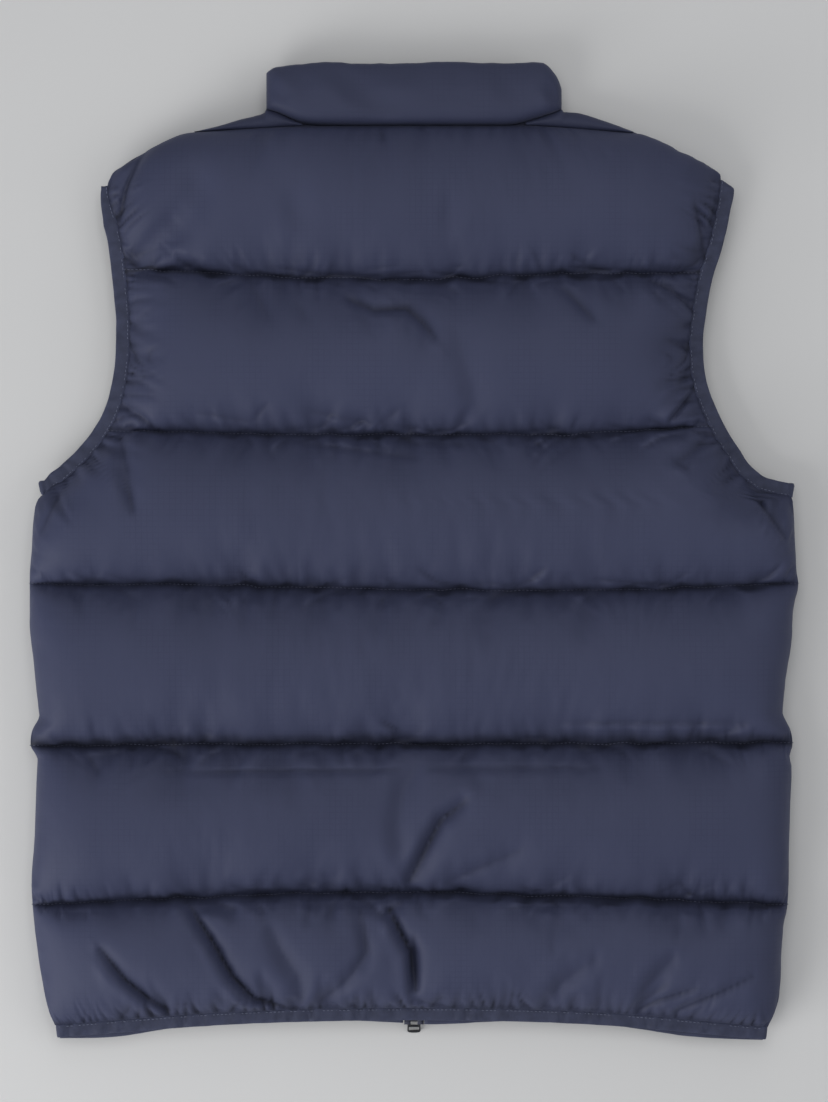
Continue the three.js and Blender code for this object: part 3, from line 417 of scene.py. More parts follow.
def wall(grid, flat_z, flip=False):
    """Points and faces of a closed wall whose outer side is the grid and whose inside is flat."""
    rows, columns = grid.shape[:2]
    points = [tuple(p) for p in grid.reshape(-1, 3)]
    faces = grid_faces(rows, columns, flip)
    rim = [(0, c) for c in range(columns)] + [(r, columns - 1) for r in range(1, rows)]
    rim += [(rows - 1, c) for c in range(columns - 2, -1, -1)] + [(r, 0) for r in range(rows - 2, 0, -1)]
    inside_rows = list(range(0, rows - 1, 8)) + [rows - 1]
    inside_columns = list(range(0, columns - 1, 17)) + [columns - 1]
    inside = {}
    for r, c in rim + [(r, c) for r in inside_rows[1:-1] for c in inside_columns[1:-1]]:
        inside[r, c] = len(points)
        points.append((grid[r, c, 0], grid[r, c, 1], flat_z))
    for a, b in zip(rim, rim[1:] + rim[:1]):
        quad = (a[0] * columns + a[1], inside[a], inside[b], b[0] * columns + b[1])
        faces.append(quad[::-1] if flip else quad)
    for low, high in zip(inside_rows, inside_rows[1:]):
        for left, right in zip(inside_columns, inside_columns[1:]):
            loop = [(low, c) for c in range(left, right)] + [(r, right) for r in range(low, high)]
            loop += [(high, c) for c in range(right, left, -1)] + [(r, left) for r in range(high, low, -1)]
            face = [inside[p] for p in loop if p in inside]
            faces.append(face if flip else face[::-1])
    return points, faces


def grain(n, l, scale, stretch=(1, 1, 1)):
    """Places on the object in metres, scaled and stretched."""
    place = n.new("ShaderNodeTexCoord")
    mapping = n.new("ShaderNodeMapping")
    mapping.inputs["Scale"].default_value = tuple(scale * s for s in stretch)
    l.new(place.outputs["Object"], mapping.inputs["Vector"])
    return mapping.outputs["Vector"]


def unevenness(n, l, scale, stretch=(1, 1, 1), detail=2.0, roughness=0.5):
    """Random values from 0 to 1 that change softly over the object."""
    texture = n.new("ShaderNodeTexNoise")
    set_inputs(texture, {"Scale": scale, "Detail": detail, "Roughness": roughness})
    l.new(grain(n, l, 1.0, stretch), texture.inputs["Vector"])
    return texture.outputs["Fac"]


def math_node(n, l, operation, a, b=None):
    """The result of a sum on sockets or numbers."""
    node = n.new("ShaderNodeMath")
    node.operation = operation
    for socket, value in zip(node.inputs, (a, b)):
        if value is None:
            continue
        if isinstance(value, (int, float)):
            socket.default_value = value
        else:
            l.new(value, socket)
    return node.outputs[0]


def mixed(n, l, factor, first, second, blend="MIX"):
    """Two colours mixed by a factor. The first can be the result of another mix."""
    mix = n.new("ShaderNodeMix")
    mix.data_type = "RGBA"
    mix.blend_type = blend
    if isinstance(first, tuple):
        mix.inputs["A"].default_value = (*first, 1)
    else:
        l.new(first, mix.inputs["A"])
    mix.inputs["B"].default_value = (*second, 1)
    l.new(factor, mix.inputs["Factor"])
    return mix.outputs["Result"]


def times(factor, colour):
    return tuple(factor * c for c in colour)


def painted_light_of(n):
    node = n.new("ShaderNodeAttribute")
    node.attribute_name = "painted_light"
    return node.outputs["Fac"]


def bumped(n, l, height, strength, distance, under=None):
    """Normals raised by a height, on top of other normals where there are any."""
    bump = n.new("ShaderNodeBump")
    set_inputs(bump, {"Strength": strength, "Distance": distance})
    l.new(height, bump.inputs["Height"])
    if under:
        l.new(under, bump.inputs["Normal"])
    return bump.outputs["Normal"]


GRID_PITCH = 4.3  # of the thicker threads in the nylon


def ripstop(name, colour, second):
    """Thin nylon woven in a fine grid that shows in places, with small wrinkles and a soft sheen. Painted
    shade makes it darker in seams and folds."""
    material, n, l, shader = nodes_of(name)
    sheen = {"Sheen Weight": 0.06, "Sheen Roughness": 0.45, "Sheen Tint": (0.62, 0.68, 0.95, 1)}
    set_inputs(shader, {"Roughness": 0.6, "Specular IOR Level": 0.16, **sheen})
    split = n.new("ShaderNodeSeparateXYZ")
    l.new(grain(n, l, 1000.0), split.inputs[0])
    lines = []
    for axis in ("X", "Y"):
        wave = math_node(n, l, "MULTIPLY", split.outputs[axis], 2 * math.pi / GRID_PITCH)
        wave = math_node(n, l, "SINE", wave)
        wave = math_node(n, l, "ADD", math_node(n, l, "MULTIPLY", wave, 0.5), 0.5)
        lines.append(math_node(n, l, "POWER", wave, 24))
    seen = math_node(n, l, "SUBTRACT", unevenness(n, l, 42.0, (1, 0.4, 1)), 0.42)
    seen = math_node(n, l, "MAXIMUM", math_node(n, l, "MULTIPLY", seen, 5.0), 0.1)
    seen = math_node(n, l, "MINIMUM", seen, 1.0)
    ribs = math_node(n, l, "MULTIPLY", math_node(n, l, "MAXIMUM", lines[0], lines[1]), seen)
    cloudy = mixed(n, l, unevenness(n, l, 9.0, detail=3.0), colour, second)
    darker = math_node(n, l, "MULTIPLY", ribs, 0.45)
    ribbed = mixed(n, l, darker, cloudy, (0.72, 0.73, 0.78), "MULTIPLY")
    # Painted shade: the colour darkens towards about a fifth of itself in seams and folds
    l.new(mixed(n, l, painted_light_of(n), ribbed, times(0.22, colour)), shader.inputs["Base Color"])
    wrinkles = unevenness(n, l, 55.0, (1.0, 0.7, 1.0), 4.0, 0.6)
    wrinkled = bumped(n, l, wrinkles, 0.35, 0.0012)
    l.new(bumped(n, l, ribs, 0.1, 0.00002, wrinkled), shader.inputs["Normal"])
    return material


SHELL = ripstop("shell_nylon", (0.0307, 0.035, 0.0685), (0.0375, 0.0427, 0.0818))

# Creases of the back: path in millimetres, half width, depth, sharpness
BACK_CREASES = [
    # lowest channel
    (((-237, -299), (-219, -323), (-201, -339), (-186, -349)), 7, 7.5, 0.6),
    (((-170, -268), (-154, -292), (-138, -320), (-121, -339), (-90, -349)), 7, 9, 0.6),
    (((-111, -280), (-101, -302), (-89, -320), (-86, -339)), 8, 4, 0.2),
    (((-42, -262), (-36, -302), (-50, -323), (-70, -341)), 8, 4.5, 0.3),
    (((-19, -270), (-3, -302), (0, -333)), 7, 10, 0.7),
    (((-1, -291), (2, -332)), 5, 4, 0.5),
    (((0, -339), (18, -345), (30, -348)), 5, 3, 0.4),
    (((139, -306), (111, -326), (101, -343)), 8, 3.5, 0.2),
    (((198, -304), (172, -333)), 8, 3.5, 0.2),
    (((213, -330), (186, -340), (170, -349)), 6, 4.5, 0.7),
    (((257, -320), (236, -331), (199, -349)), 6, 4.5, 0.6),
    (((191, -327), (166, -348)), 7, 3.5, 0.3),
    # the channel above it
    (((5, -158), (-8, -176), (-13, -206), (-8, -242)), 9, 3.5, 0.1),
    (((40, -188), (20, -203), (7, -228), (-5, -253)), 9, 8, 0.5),
    (((83, -225), (50, -239), (23, -252)), 8, 3.5, 0.3),
    (((204, -250), (184, -260)), 7, 3, 0.3),
    (((-43, -260), (-24, -275), (-11, -266)), 7, 4, 0.4),
    (((-187, -167), (-11, -165)), 5, 3.4, 0.8),
    (((11, -164), (141, -164)), 5, 3.2, 0.8),
    # beside the middle seams
    (((-24, -129), (-8, -139)), 6, 3.5, 0.4),
    (((-249, -152), (-238, -168)), 6, 3, 0.4),
    (((111, -130), (250, -130)), 6, 3, 0.6),
    (((223, -142), (254, -130)), 6, 2.5, 0.4),
    (((216, -150), (240, -162)), 6, 2.5, 0.4),
    # channel below the top seam
    (((-125, 205), (-109, 175)), 8, 3.5, 0.2),
    (((-88, 188), (-81, 174)), 7, 2.5, 0.2),
    (((-51, 191), (-30, 182), (-6, 183), (5, 174), (17, 160)), 9, 6.5, 0.4),
    (((30, 169), (37, 143), (46, 112), (50, 98)), 10, 3, 0.1),
    (((112, 200), (136, 174)), 8, 3.5, 0.4),
    (((176, 202), (188, 188)), 7, 2.5, 0.3),
    (((-110, 112), (-122, 98)), 6, 2.5, 0.3),
    (((-163, 105), (-125, 98)), 6, 2.5, 0.3),
    (((-78, 106), (-30, 96)), 6, 2.5, 0.3),
    (((-11, 108), (-26, 96)), 6, 2.5, 0.3),
    (((40, 105), (33, 93)), 6, 2, 0.3),
    # channel under the armholes
    (((-90, 83), (3, 70)), 7, 2.5, 0.4),
    (((-14, 83), (39, 80)), 6, 2, 0.4),
    (((-116, 85), (-106, 70)), 6, 2, 0.3),
    (((198, 66), (207, 61)), 6, 3, 0.4),
    # towards the armholes
    (((-224, 250), (-216, 281), (-209, 297)), 6, 3.5, 0.4),
    (((-163, 283), (-164, 268), (-180, 246), (-206, 222), (-219, 209)), 12, 5.5, 0.0),
    (((-204, 303), (-218, 275), (-226, 247)), 6, 3.5, 0.5),
    (((-223, 111), (-205, 101), (-198, 93)), 6, 3, 0.4),
    (((-226, 97), (-217, 64), (-211, 31)), 7, 3.5, 0.3),
    (((-267, 47), (-282, 14)), 7, 3.5, 0.5),
    (((-223, 66), (-211, 29)), 6, 2.5, 0.5),
    (((176, 206), (195, 197), (211, 184)), 7, 4, 0.5),
    (((212, 264), (216.6, 244), (221, 224)), 6, 5, 0.6),
    (((230, 269), (224, 245)), 5, 3.5, 0.6),
    (((196, 66), (212, 77), (224, 88)), 8, 4, 0.3),
    (((191, 160), (211, 152)), 6, 3, 0.4),
    (((210, 140), (200, 127)), 6, 3, 0.4),
    (((214, 124), (204, 111), (194, 99)), 5, 5, 0.7),
    (((244, 72), (232, 34)), 8, 3, 0.2),
    (((255, 49), (262, 37), (281, 9)), 6, 6, 0.6),
    # yoke
    (((-26, 321), (-23, 310)), 5, 2.5, 0.4),
    (((2, 322), (12, 316)), 5, 2, 0.4),
    (((-99, 269), (-80, 247)), 11, 2.5, 0.0),
    (((20, 247), (33, 263)), 11, 2, 0.0),
]


FOLD_PITCH = 34


def seam_folds(seed):
    """Short folds that run off the seams at shallow angles, where the cloth bunches up."""
    pick = np.random.default_rng(seed)
    folds = []
    for k in range(1, CHANNELS):
        for side in (-1, 1):
            for start in np.arange(-262, 250, FOLD_PITCH):
                start += pick.uniform(-12, 12)
                long = pick.uniform(0, 1) > 0.6
                run = pick.uniform(12, 34) * pick.choice((-1, 1)) * (2.4 if long else 1)
                rise = side * pick.uniform(5, 15) * (0.5 if long else 1)
                low = seam_y(k, (start + HALF_WIDTH) / (2 * HALF_WIDTH)) + side * 1.5
                bent = (start + 0.6 * run, low + 0.35 * rise)
                path = ((start, low), bent, (start + run, low + rise))
                folds.append((path, pick.uniform(3.2, 5.2), pick.uniform(1.6, 3.8), pick.uniform(0.2, 0.7)))
    return [fold for fold in folds if abs(fold[0][-1][0]) < 205 or fold[0][0][1] < 60]


def back_grid(columns, rows):
    """Places on the back from the hem up, the share of each between its seams, and its channel."""
    u = eased(columns, 0.5)[None, :]
    places, shares, channels = [], [], []
    for k in range(CHANNELS):
        t = eased(rows[k], 0.4 if k < 3 else 0.2)[:, None]
        t = t if k == CHANNELS - 1 else t[:-1]
        left_y = SEAMS[k][0] + (SEAMS[k + 1][0] - SEAMS[k][0]) * t
        right_y = SEAMS[k][4] + (SEAMS[k + 1][4] - SEAMS[k][4]) * t
        left_x, right_x = along(LEFT_EDGE, left_y), along(RIGHT_EDGE, right_y)
        x = left_x + (right_x - left_x) * u
        y = seam_y(k, u + 0 * t) * (1 - t) + seam_y(k + 1, u + 0 * t) * t
        places.append(np.stack([x, y], axis=-1))
        shares.append(t + 0 * x)
        channels.append(np.full(x.shape, k))
    return np.concatenate(places), np.concatenate(shares), np.concatenate(channels)


ARMHOLE_LENGTH = 290


def outline_distances(x, y):
    """How far places are from the bound armholes, and from the side seams and the folds at the shoulders."""
    from_armhole = np.full(x.shape, FAR)
    along_armhole = np.zeros(x.shape)
    from_side = np.full(x.shape, FAR)
    for side, table in (("left", LEFT_EDGE), ("right", RIGHT_EDGE)):
        low, high = UNDERARM[side], SHOULDER_TIP[side]
        armhole = [(row[1], row[0]) for row in table if low <= row[0] <= high + 3]
        below = [(row[1], row[0]) for row in table if row[0] <= low + 1]
        above = [(row[1], row[0]) for row in table if row[0] >= high]
        away, share = distance_to_path(x, y, armhole)
        nearer = np.abs(away) < from_armhole
        along_armhole = np.where(nearer, ARMHOLE_LENGTH * share, along_armhole)
        from_armhole = np.where(nearer, np.abs(away), from_armhole)
        for line in (below, above):
            from_side = np.minimum(from_side, np.abs(distance_to_path(x, y, line)[0]))
    return from_armhole, along_armhole, from_side


COLUMNS = 300
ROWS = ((40, 40, 40, 56, 72, 72))  # in each channel
place, share, channel = back_grid(COLUMNS, ROWS)
x, y = place[..., 0], place[..., 1]

# Thickness: full in the middle of a channel, thin at the seams and towards the outline
from_armhole, along_armhole, from_side = outline_distances(x, y)
rounding = 26 + 55 * bell(y + 325, 75) * np.clip(-x / 120, 0, 1)
edges = gathered_swell(from_armhole) * swell(from_side, rounding)
at_seam = np.array([row[5] for row in SEAMS])
loft = np.array([row[6] for row in SEAMS])
seam = at_seam[channel] * (1 - share) + at_seam[channel + 1] * share
bulge = channel_shape(share) ** np.where((channel == 0) & (share > 0.5), 0.5, 1)
fill = loft[channel] * bulge * edges
thickness = EDGE_THICKNESS + (seam - EDGE_THICKNESS) * edges + 0.9 * fill

# The cloth is held at the seams, which wander a little, and at the sides
on_seam = (share == 0) | (share == 1)
held = on_seam.astype(float)
held[:, 0] = held[:, -1] = 1
from_seam = np.minimum(share, 1 - share) * CHANNEL_HEIGHT
from_hem = y - seam_y(0, (x - HEM_FROM) / HEM_LENGTH)
waver = (1.1 * smooth_noise(x, y, 19, 1) + 0.4 * smooth_noise(x, y, 8, 12)) * np.exp(-from_seam / 30)
waver *= np.clip(from_side / 20, 0, 1) * np.clip(from_armhole / 20, 0, 1) * np.clip(from_hem / 20, 0, 1)
waver *= np.clip((320 - y) / 20, 0, 1)

# Folds listed one by one, and puckers and gathers where seams and edges draw the cloth in
all_creases = []
for path, width, depth, hard in BACK_CREASES:
    all_creases.append((path, width * (0.78 if hard > 0.25 else 1), depth, hard))
all_creases += seam_folds(11)
deep = np.minimum(crease_field(x, y, all_creases), 0.7 * fill)
patchy = np.clip(0.45 + 0.9 * smooth_noise(x, y, 55, 2), 0.05, 1)
drawn = 0 * x
for k in range(1, len(SEAMS)):
    away = y - seam_y(k, (x + HALF_WIDTH) / (2 * HALF_WIDTH))
    drawn += 2.4 * patchy * puckers(x, np.where(away > 0, away, FAR), 14, 16, 20 + k)
    drawn += 2.4 * patchy * puckers(x, np.where(away < 0, -away, FAR), 17, 24, 30 + k)
at_hem = gathers(x, from_hem, 10, 12, 40) * (0.65 + 0.9 * bell(x + 80, 120))
at_armhole = gathers(along_armhole, from_armhole, 10.5, 20, 42)
drawn += 3.0 * at_hem + 1.8 * patchy * puckers(x, from_hem, 15, 26, 41)
drawn += (3.2 + 1.6 * (x > 0)) * at_armhole
drawn += 2.4 * puckers(along_armhole, from_armhole, 17, 34, 43)
drawn += 1.6 * np.exp(-from_seam / 26) * puckers(y, from_side, 13, 26, 44)
drawn = np.minimum(drawn, 0.6 * fill)
height = thickness - 0.75 * deep - drawn
rough = (1 - held) * np.clip(fill / 8, 0, 1)
height += rough * (0.45 * smooth_noise(x, 0.4 * y, 14, 3) + 0.25 * smooth_noise(x, y, 7, 4))
height += rough * (1.3 * smooth_noise(x, 0.8 * y, 46, 60) + 0.6 * smooth_noise(x, y, 24, 61))
pattern = np.stack([x, y + waver, BACK_INSIDE + np.maximum(EDGE_THICKNESS, height)], axis=-1)

# The cloth settles, and its sharp folds are pressed in once more
longer_across = 0.004 + 0.05 * bell(from_seam, 13) * patchy + 0.05 * np.exp(-from_hem / 14)
longer_up = 0.008 + 0.07 * np.exp(-from_armhole / 16)
push = 0.005 * np.clip(1 - 0.45 * deep, -0.6, 1)
reach = np.full(x.shape, 3.0)
cloth = settled(pattern, (longer_across, longer_up), held, push, (60, 40, 30), reach)
cores = []
for path, width, depth, hard in all_creases:
    cores.append((path, 0.55 * width, 0.4 * depth * min(1, 2.5 * hard), 0.8))
sharp = crease_field(cloth[..., 0], cloth[..., 1], cores)
sharp += 2.2 * at_hem + 1.8 * at_armhole
cloth[..., 2] -= np.minimum(sharp, 0.35 * np.clip(cloth[..., 2] - INSIDE_Z - 3, 0, 20))
cloth[..., 2] = np.maximum(cloth[..., 2], INSIDE_Z + 1.2)

# Painted shade where shade falls: on the needle line, the fold that wanders beside it, creases, gathers and
# bound edges
beyond_seam = np.where(share < 0.5, share, share - 1) * CHANNEL_HEIGHT
nearest = np.where(share < 0.5, channel, channel + 1)
wandering = beyond_seam - 2.4 * smooth_noise(x, 0 * y, 13, 52)
painted_light = 0.42 * bell(from_seam, 1.3)
painted_light += (0.3 + 0.6 * smooth_noise(x, y, 16, 51)) * bell(wandering, 1.5)
painted_light += 0.5 * bell(beyond_seam - 2.5, 4) * (nearest == 2)
painted_light *= (0 < nearest) * (nearest < CHANNELS)
painted_light = np.maximum(painted_light, 0.25 * sharp) + 0.06 * drawn + 0.25 * at_armhole**2 + 0.5 * at_hem**2
painted_light += 0.45 * bell(from_armhole, 2.2) + 0.35 * bell(from_hem, 2.2)
painted_light = np.clip(painted_light, 0, DEEPEST_PAINTED_SHADE)

quilting = [cloth[sum(ROWS[:k])] + (0, 0, THREAD_RISE) for k in range(1, CHANNELS)]
sewn = on_seam & (channel + share > 0.5) & (channel + share < CHANNELS)
back = add_object("back_cloth", *wall(cloth, BACK_INSIDE), SHELL, painted_light, sewn)
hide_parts("back_panel")
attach(back, "vest")


# Fronts. The same channels on each side of the zip, pressed flat by the surface under them. Each front
# goes over the shoulder and is sewn to the back's top seam there, so a lip of it shows from above.
ZIP_EDGE = 7.5
NECK_HALF, NECK_Y, FRONT_NECK_Y = 112, 333, 266
FRONT_SCOOP = 9
FRONT_LOFT = 22
ABOVE_FLOOR = 0.05
# How far the front's hem shows below the back's: x, drop
HEM_PEEK = [
    (-272, 0), (-228, 2.4), (-180, -1), (-60, -1), (-7.8, 1.4), (7.8, 2.4), (22, 2.4), (80, -1),
    (150, -1), (212, 2.4), (266, 0),
]
HEM_LEFT, HEM_RIGHT = -270, 266.2
COLLAR_FOLD = 112.5
COLLAR_SEAM = [  # x, height
    (-112.5, 336), (-104, 333.7), (-84, 325.4), (-62, 323.8), (0, 323.7), (62, 323.8), (78, 325),
    (104, 332.8), (112.5, 336),
]
COLLAR_TOP = [  # x, height
    (-112.5, 364), (-105, 368), (-70, 371.4), (-20, 370.6), (24, 372), (60, 370.8), (98, 371.4),
    (108, 362), (112.5, 352),
]

# Creases of the fronts, which rest on the floor: path in millimetres, half width, depth, sharpness
FRONT_CREASES = [
    (((-206, -292), (-176, -322), (-150, -342)), 8, 6, 0.5),
    (((-96, -286), (-64, -318), (-48, -340)), 8, 5, 0.4),
    (((-236, -170), (-196, -196), (-170, -232)), 9, 4, 0.3),
    (((-70, -34), (-96, -70), (-90, -110)), 9, 3.5, 0.2),
    (((-196, 74), (-150, 46), (-118, 8)), 9, 4, 0.3),
    (((-60, 196), (-92, 160), (-96, 122)), 9, 3.5, 0.2),
    (((64, -300), (88, -322), (98, -344)), 8, 5, 0.4),
    (((214, -296), (176, -326), (152, -346)), 8, 6, 0.5),
    (((70, -166), (104, -196), (110, -236)), 9, 4, 0.3),
    (((238, -46), (196, -84), (180, -122)), 9, 4, 0.3),
    (((60, 70), (84, 34), (80, 0)), 9, 3.5, 0.2),
    (((176, 186), (140, 150), (128, 112)), 9, 4, 0.3),
]


def back_hem_y(x):
    """The height of the back's hem, and below it that of the fronts."""
    return seam_y(0, (x - HEM_LEFT) / (HEM_RIGHT - HEM_LEFT))


def front_hem_y(x):
    return back_hem_y(x) - along(HEM_PEEK, x)


def front_edge_x(side, y):
    """The outer edge of a front, whose armhole is cut deeper than the back's."""
    share = np.clip((y - UNDERARM[side]) / (SHOULDER_TIP[side] - UNDERARM[side]), 0, 1)
    scoop = FRONT_SCOOP * np.sin(np.pi * share)
    return along(LEFT_EDGE, y) + scoop if side == "left" else along(RIGHT_EDGE, y) - scoop


def front_grid(side, columns, rows):
    """Places on a front from the hem up, and the share of each between its seams."""
    sign, end = (-1, 0) if side == "left" else (1, 4)
    u = eased(columns, 0.5)[None, :]
    places, shares = [], []
    for k in range(CHANNELS):
        yoke = k == CHANNELS - 1
        t = eased(rows, 0.4)[:, None]
        t = t if yoke else t[:-1]
        outer_top = NECK_Y if yoke else SEAMS[k + 1][end]
        inner_top = NECK_Y if yoke else SEAMS[k + 1][2]
        outer_y = SEAMS[k][end] + (outer_top - SEAMS[k][end]) * t
        inner_y = SEAMS[k][2] + (inner_top - SEAMS[k][2]) * t
        fallen = np.clip((NECK_Y - inner_y) / (NECK_Y - FRONT_NECK_Y), 0, 1)
        inner_x = sign * np.maximum(ZIP_EDGE, NECK_HALF * np.arccos(fallen) / (np.pi / 2))
        outer_x = front_edge_x(side, outer_y)
        inward = u if side == "left" else 1 - u
        x = outer_x + (inner_x - outer_x) * inward
        y = outer_y + (inner_y - outer_y) * inward
        if k == 0:
            y = y + (1 - t) * (front_hem_y(x) - (outer_y[0] + (inner_y[0] - outer_y[0]) * inward))
        places.append(np.stack([x, y], axis=-1))
        shares.append(t + 0 * x)
    return np.concatenate(places), np.concatenate(shares)


def swept(sections, ring=False):
    """Points and faces of a closed form drawn through sections, each a loop of points."""
    sections = np.array(sections, float)
    count, size = sections.shape[:2]
    points = sections.reshape(-1, 3)
    faces = []
    for r in range(count if ring else count - 1):
        for c in range(size):
            a, b = r * size + c, r * size + (c + 1) % size
            faces.append((a, b, (b + size) % len(points), (a + size) % len(points)))
    if not ring:
        faces.append(tuple(range(size))[::-1])
        faces.append(tuple(len(points) - size + c for c in range(size)))
    corners = points[np.array([f[:3] for f in faces if len(f) == 4])]
    volume = np.einsum("ij,ij->i", corners[:, 0], np.cross(corners[:, 1], corners[:, 2])).sum()
    if volume < 0:
        faces = [f[::-1] for f in faces]
    return [tuple(p) for p in points], faces


def shoulder_lip(side):
    """The rim of a front that shows beyond the back's top seam, on the shoulder and beside the collar."""
    sign, table = (-1, LEFT_EDGE) if side == "left" else (1, RIGHT_EDGE)
    left, right = along(LEFT_EDGE, SEAMS[-1][0]), along(RIGHT_EDGE, SEAMS[-1][4])
    by_height = [(row[1], row[0]) for row in table if row[0] > 284]
    sections = []
    for half_x in np.concatenate([np.linspace(167, 114, 36), np.linspace(112.5, 85, 20)]):
        x = sign * half_x
        low = seam_y(CHANNELS, (x - left) / (right - left)) + 0.3
        shoulder = half_x > 113
        edge = along(by_height, x) if shoulder else along(COLLAR_SEAM, x) - 0.3
        reach = max(0.5, edge - low)
        s = np.linspace(0, 1, 11)
        high = 5.6 + min(2.6, 0.5 * reach) * np.sin(np.pi * s) ** 0.8
        uneven = 0.35 * noise.noise(Vector((half_x / 6, 3.0, 0))) * np.sin(np.pi * s)
        ends = np.sqrt(1 - s**2 * (0.99 if shoulder else 0.2))
        base = INSIDE_Z - 2.2 if shoulder else BACK_INSIDE
        z = np.maximum(base + 0.2, BACK_INSIDE + high * ends + uneven)
        loop = [(x, low + reach * a, b) for a, b in zip(s, z)]
        sections.append(loop + [(x, low + reach, base), (x, low, base)])
    return swept(sections)


def joined(*shells):
    """The points and faces of several forms as one."""
    points, faces = [], []
    for more_points, more_faces in shells:
        first = len(points)
        points += more_points
        faces += [tuple(i + first for i in f) for f in more_faces]
    return points, faces


for side, sign, seed in (("left", -1, 9), ("right", 1, 10)):
    columns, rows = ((128, 40))
    place, share = front_grid(side, columns, rows)
    x, y = place[..., 0], place[..., 1]
    from_left, from_right = x - x[:, :1], x[:, -1:] - x
    swollen = swell(from_left, 22) * swell(from_right, 22)
    thickness = EDGE_THICKNESS + 1.5 * swollen + FRONT_LOFT * channel_shape(share) * swollen
    held = ((share == 0) | (share == 1)).astype(float)
    held[:, 0] = held[:, -1] = 1
    from_seam = np.minimum(share, 1 - share) * CHANNEL_HEIGHT
    rough = (1 - held) * np.clip(swollen * from_seam / 12, 0, 1)
    patchy = np.clip(0.5 + 0.9 * smooth_noise(x, y, 55, seed), 0.05, 1)
    at_seams = 2.2 * patchy * puckers(x, from_seam, 15, 20, seed)
    at_seams += 1.4 * patchy * puckers(x, from_seam, 27, 34, seed + 3)
    at_edges = 1.6 * gathers(x, y - front_hem_y(x), 7, 9, seed)
    at_edges += 1.0 * gathers(y, np.minimum(from_left, from_right), 10, 14, seed)
    folds = crease_field(x, y, [crease for crease in FRONT_CREASES if crease[0][0][0] * sign > 0])
    drawn = np.minimum(at_seams + at_edges + 0.7 * folds, 0.6 * (thickness - EDGE_THICKNESS))
    depth = 0.93 * thickness - drawn - rough * 0.5 * smooth_noise(x, 0.4 * y, 12, seed)
    pattern = np.stack([x, y, FRONT_INSIDE - depth], axis=-1)
    at_yoke = np.clip((y - 250) / 40, 0, 1)
    longer_across = 0.004 + 0.05 * bell(from_seam, 13) * np.clip(0.4 + smooth_noise(x, y, 50, 6), 0, 1)
    longer = (longer_across * (1 - at_yoke), 0.008 * (1 - at_yoke))
    push = np.full(x.shape, -0.005)
    cloth = settled(pattern, longer, held, push, (50, 30, 20), 2.5 - 2.0 * at_yoke)
    cloth[..., 2] = np.clip(cloth[..., 2], ABOVE_FLOOR, FRONT_INSIDE - 0.6)
    # Painted shade along the front's seams and in its puckers
    painted_light = DEEPEST_PAINTED_SHADE * bell(from_seam, 1.3) * (y > -330)
    painted_light = np.clip(painted_light + 0.08 * drawn, 0, DEEPEST_PAINTED_SHADE)
    hard = ((share == 0) | (share == 1)) & (painted_light > 0.5)
    quilting += [cloth[k * rows] - (0, 0, THREAD_RISE) for k in range(1, CHANNELS)]
    panel, lip = wall(cloth, FRONT_INSIDE, flip=True), shoulder_lip(side)
    # Its hidden inside gets no painted shade, and the lip an even, light painted shade
    unseen = np.zeros(len(panel[0]) - painted_light.size)
    painted_light = np.concatenate([painted_light.ravel(), unseen, np.full(len(lip[0]), 0.22)])
    front = add_object(f"front_{side}_cloth", *joined(panel, lip), SHELL, painted_light, hard)
    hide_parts(f"front_{side}")
    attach(front, "vest")


# Collar. One padded band of the same nylon that stands up round the neck in wear. Here it is pressed
# flat, with its back part on top and its two ends below it, beside the zip.
COLLAR_HEIGHT = 55
FOLD_STARTS = 96
COLLAR_CREASES = [
    (((-60, 368), (-42, 352), (-24, 340)), 11, 3.0, 0.1),
    (((-35, 350), (8, 348)), 9, -1.6, 0.0),
    (((102, 355), (112, 336)), 6, 2.5, 0.3),
    (((-108, 352), (-96, 341)), 7, 2.0, 0.2),
    (((30, 371), (36, 352)), 9, 1.6, 0.1),
    (((-90, 370), (-84, 350)), 9, 1.6, 0.1),
    (((66, 370), (72, 345)), 9, 1.4, 0.1),
]


def neck_share(x):
    """How far down the scoop of the front neck reaches: 1 in the middle, 0 at its ends."""
    return np.cos(np.pi / 2 * np.clip(np.abs(x) / NECK_HALF, 0, 1))


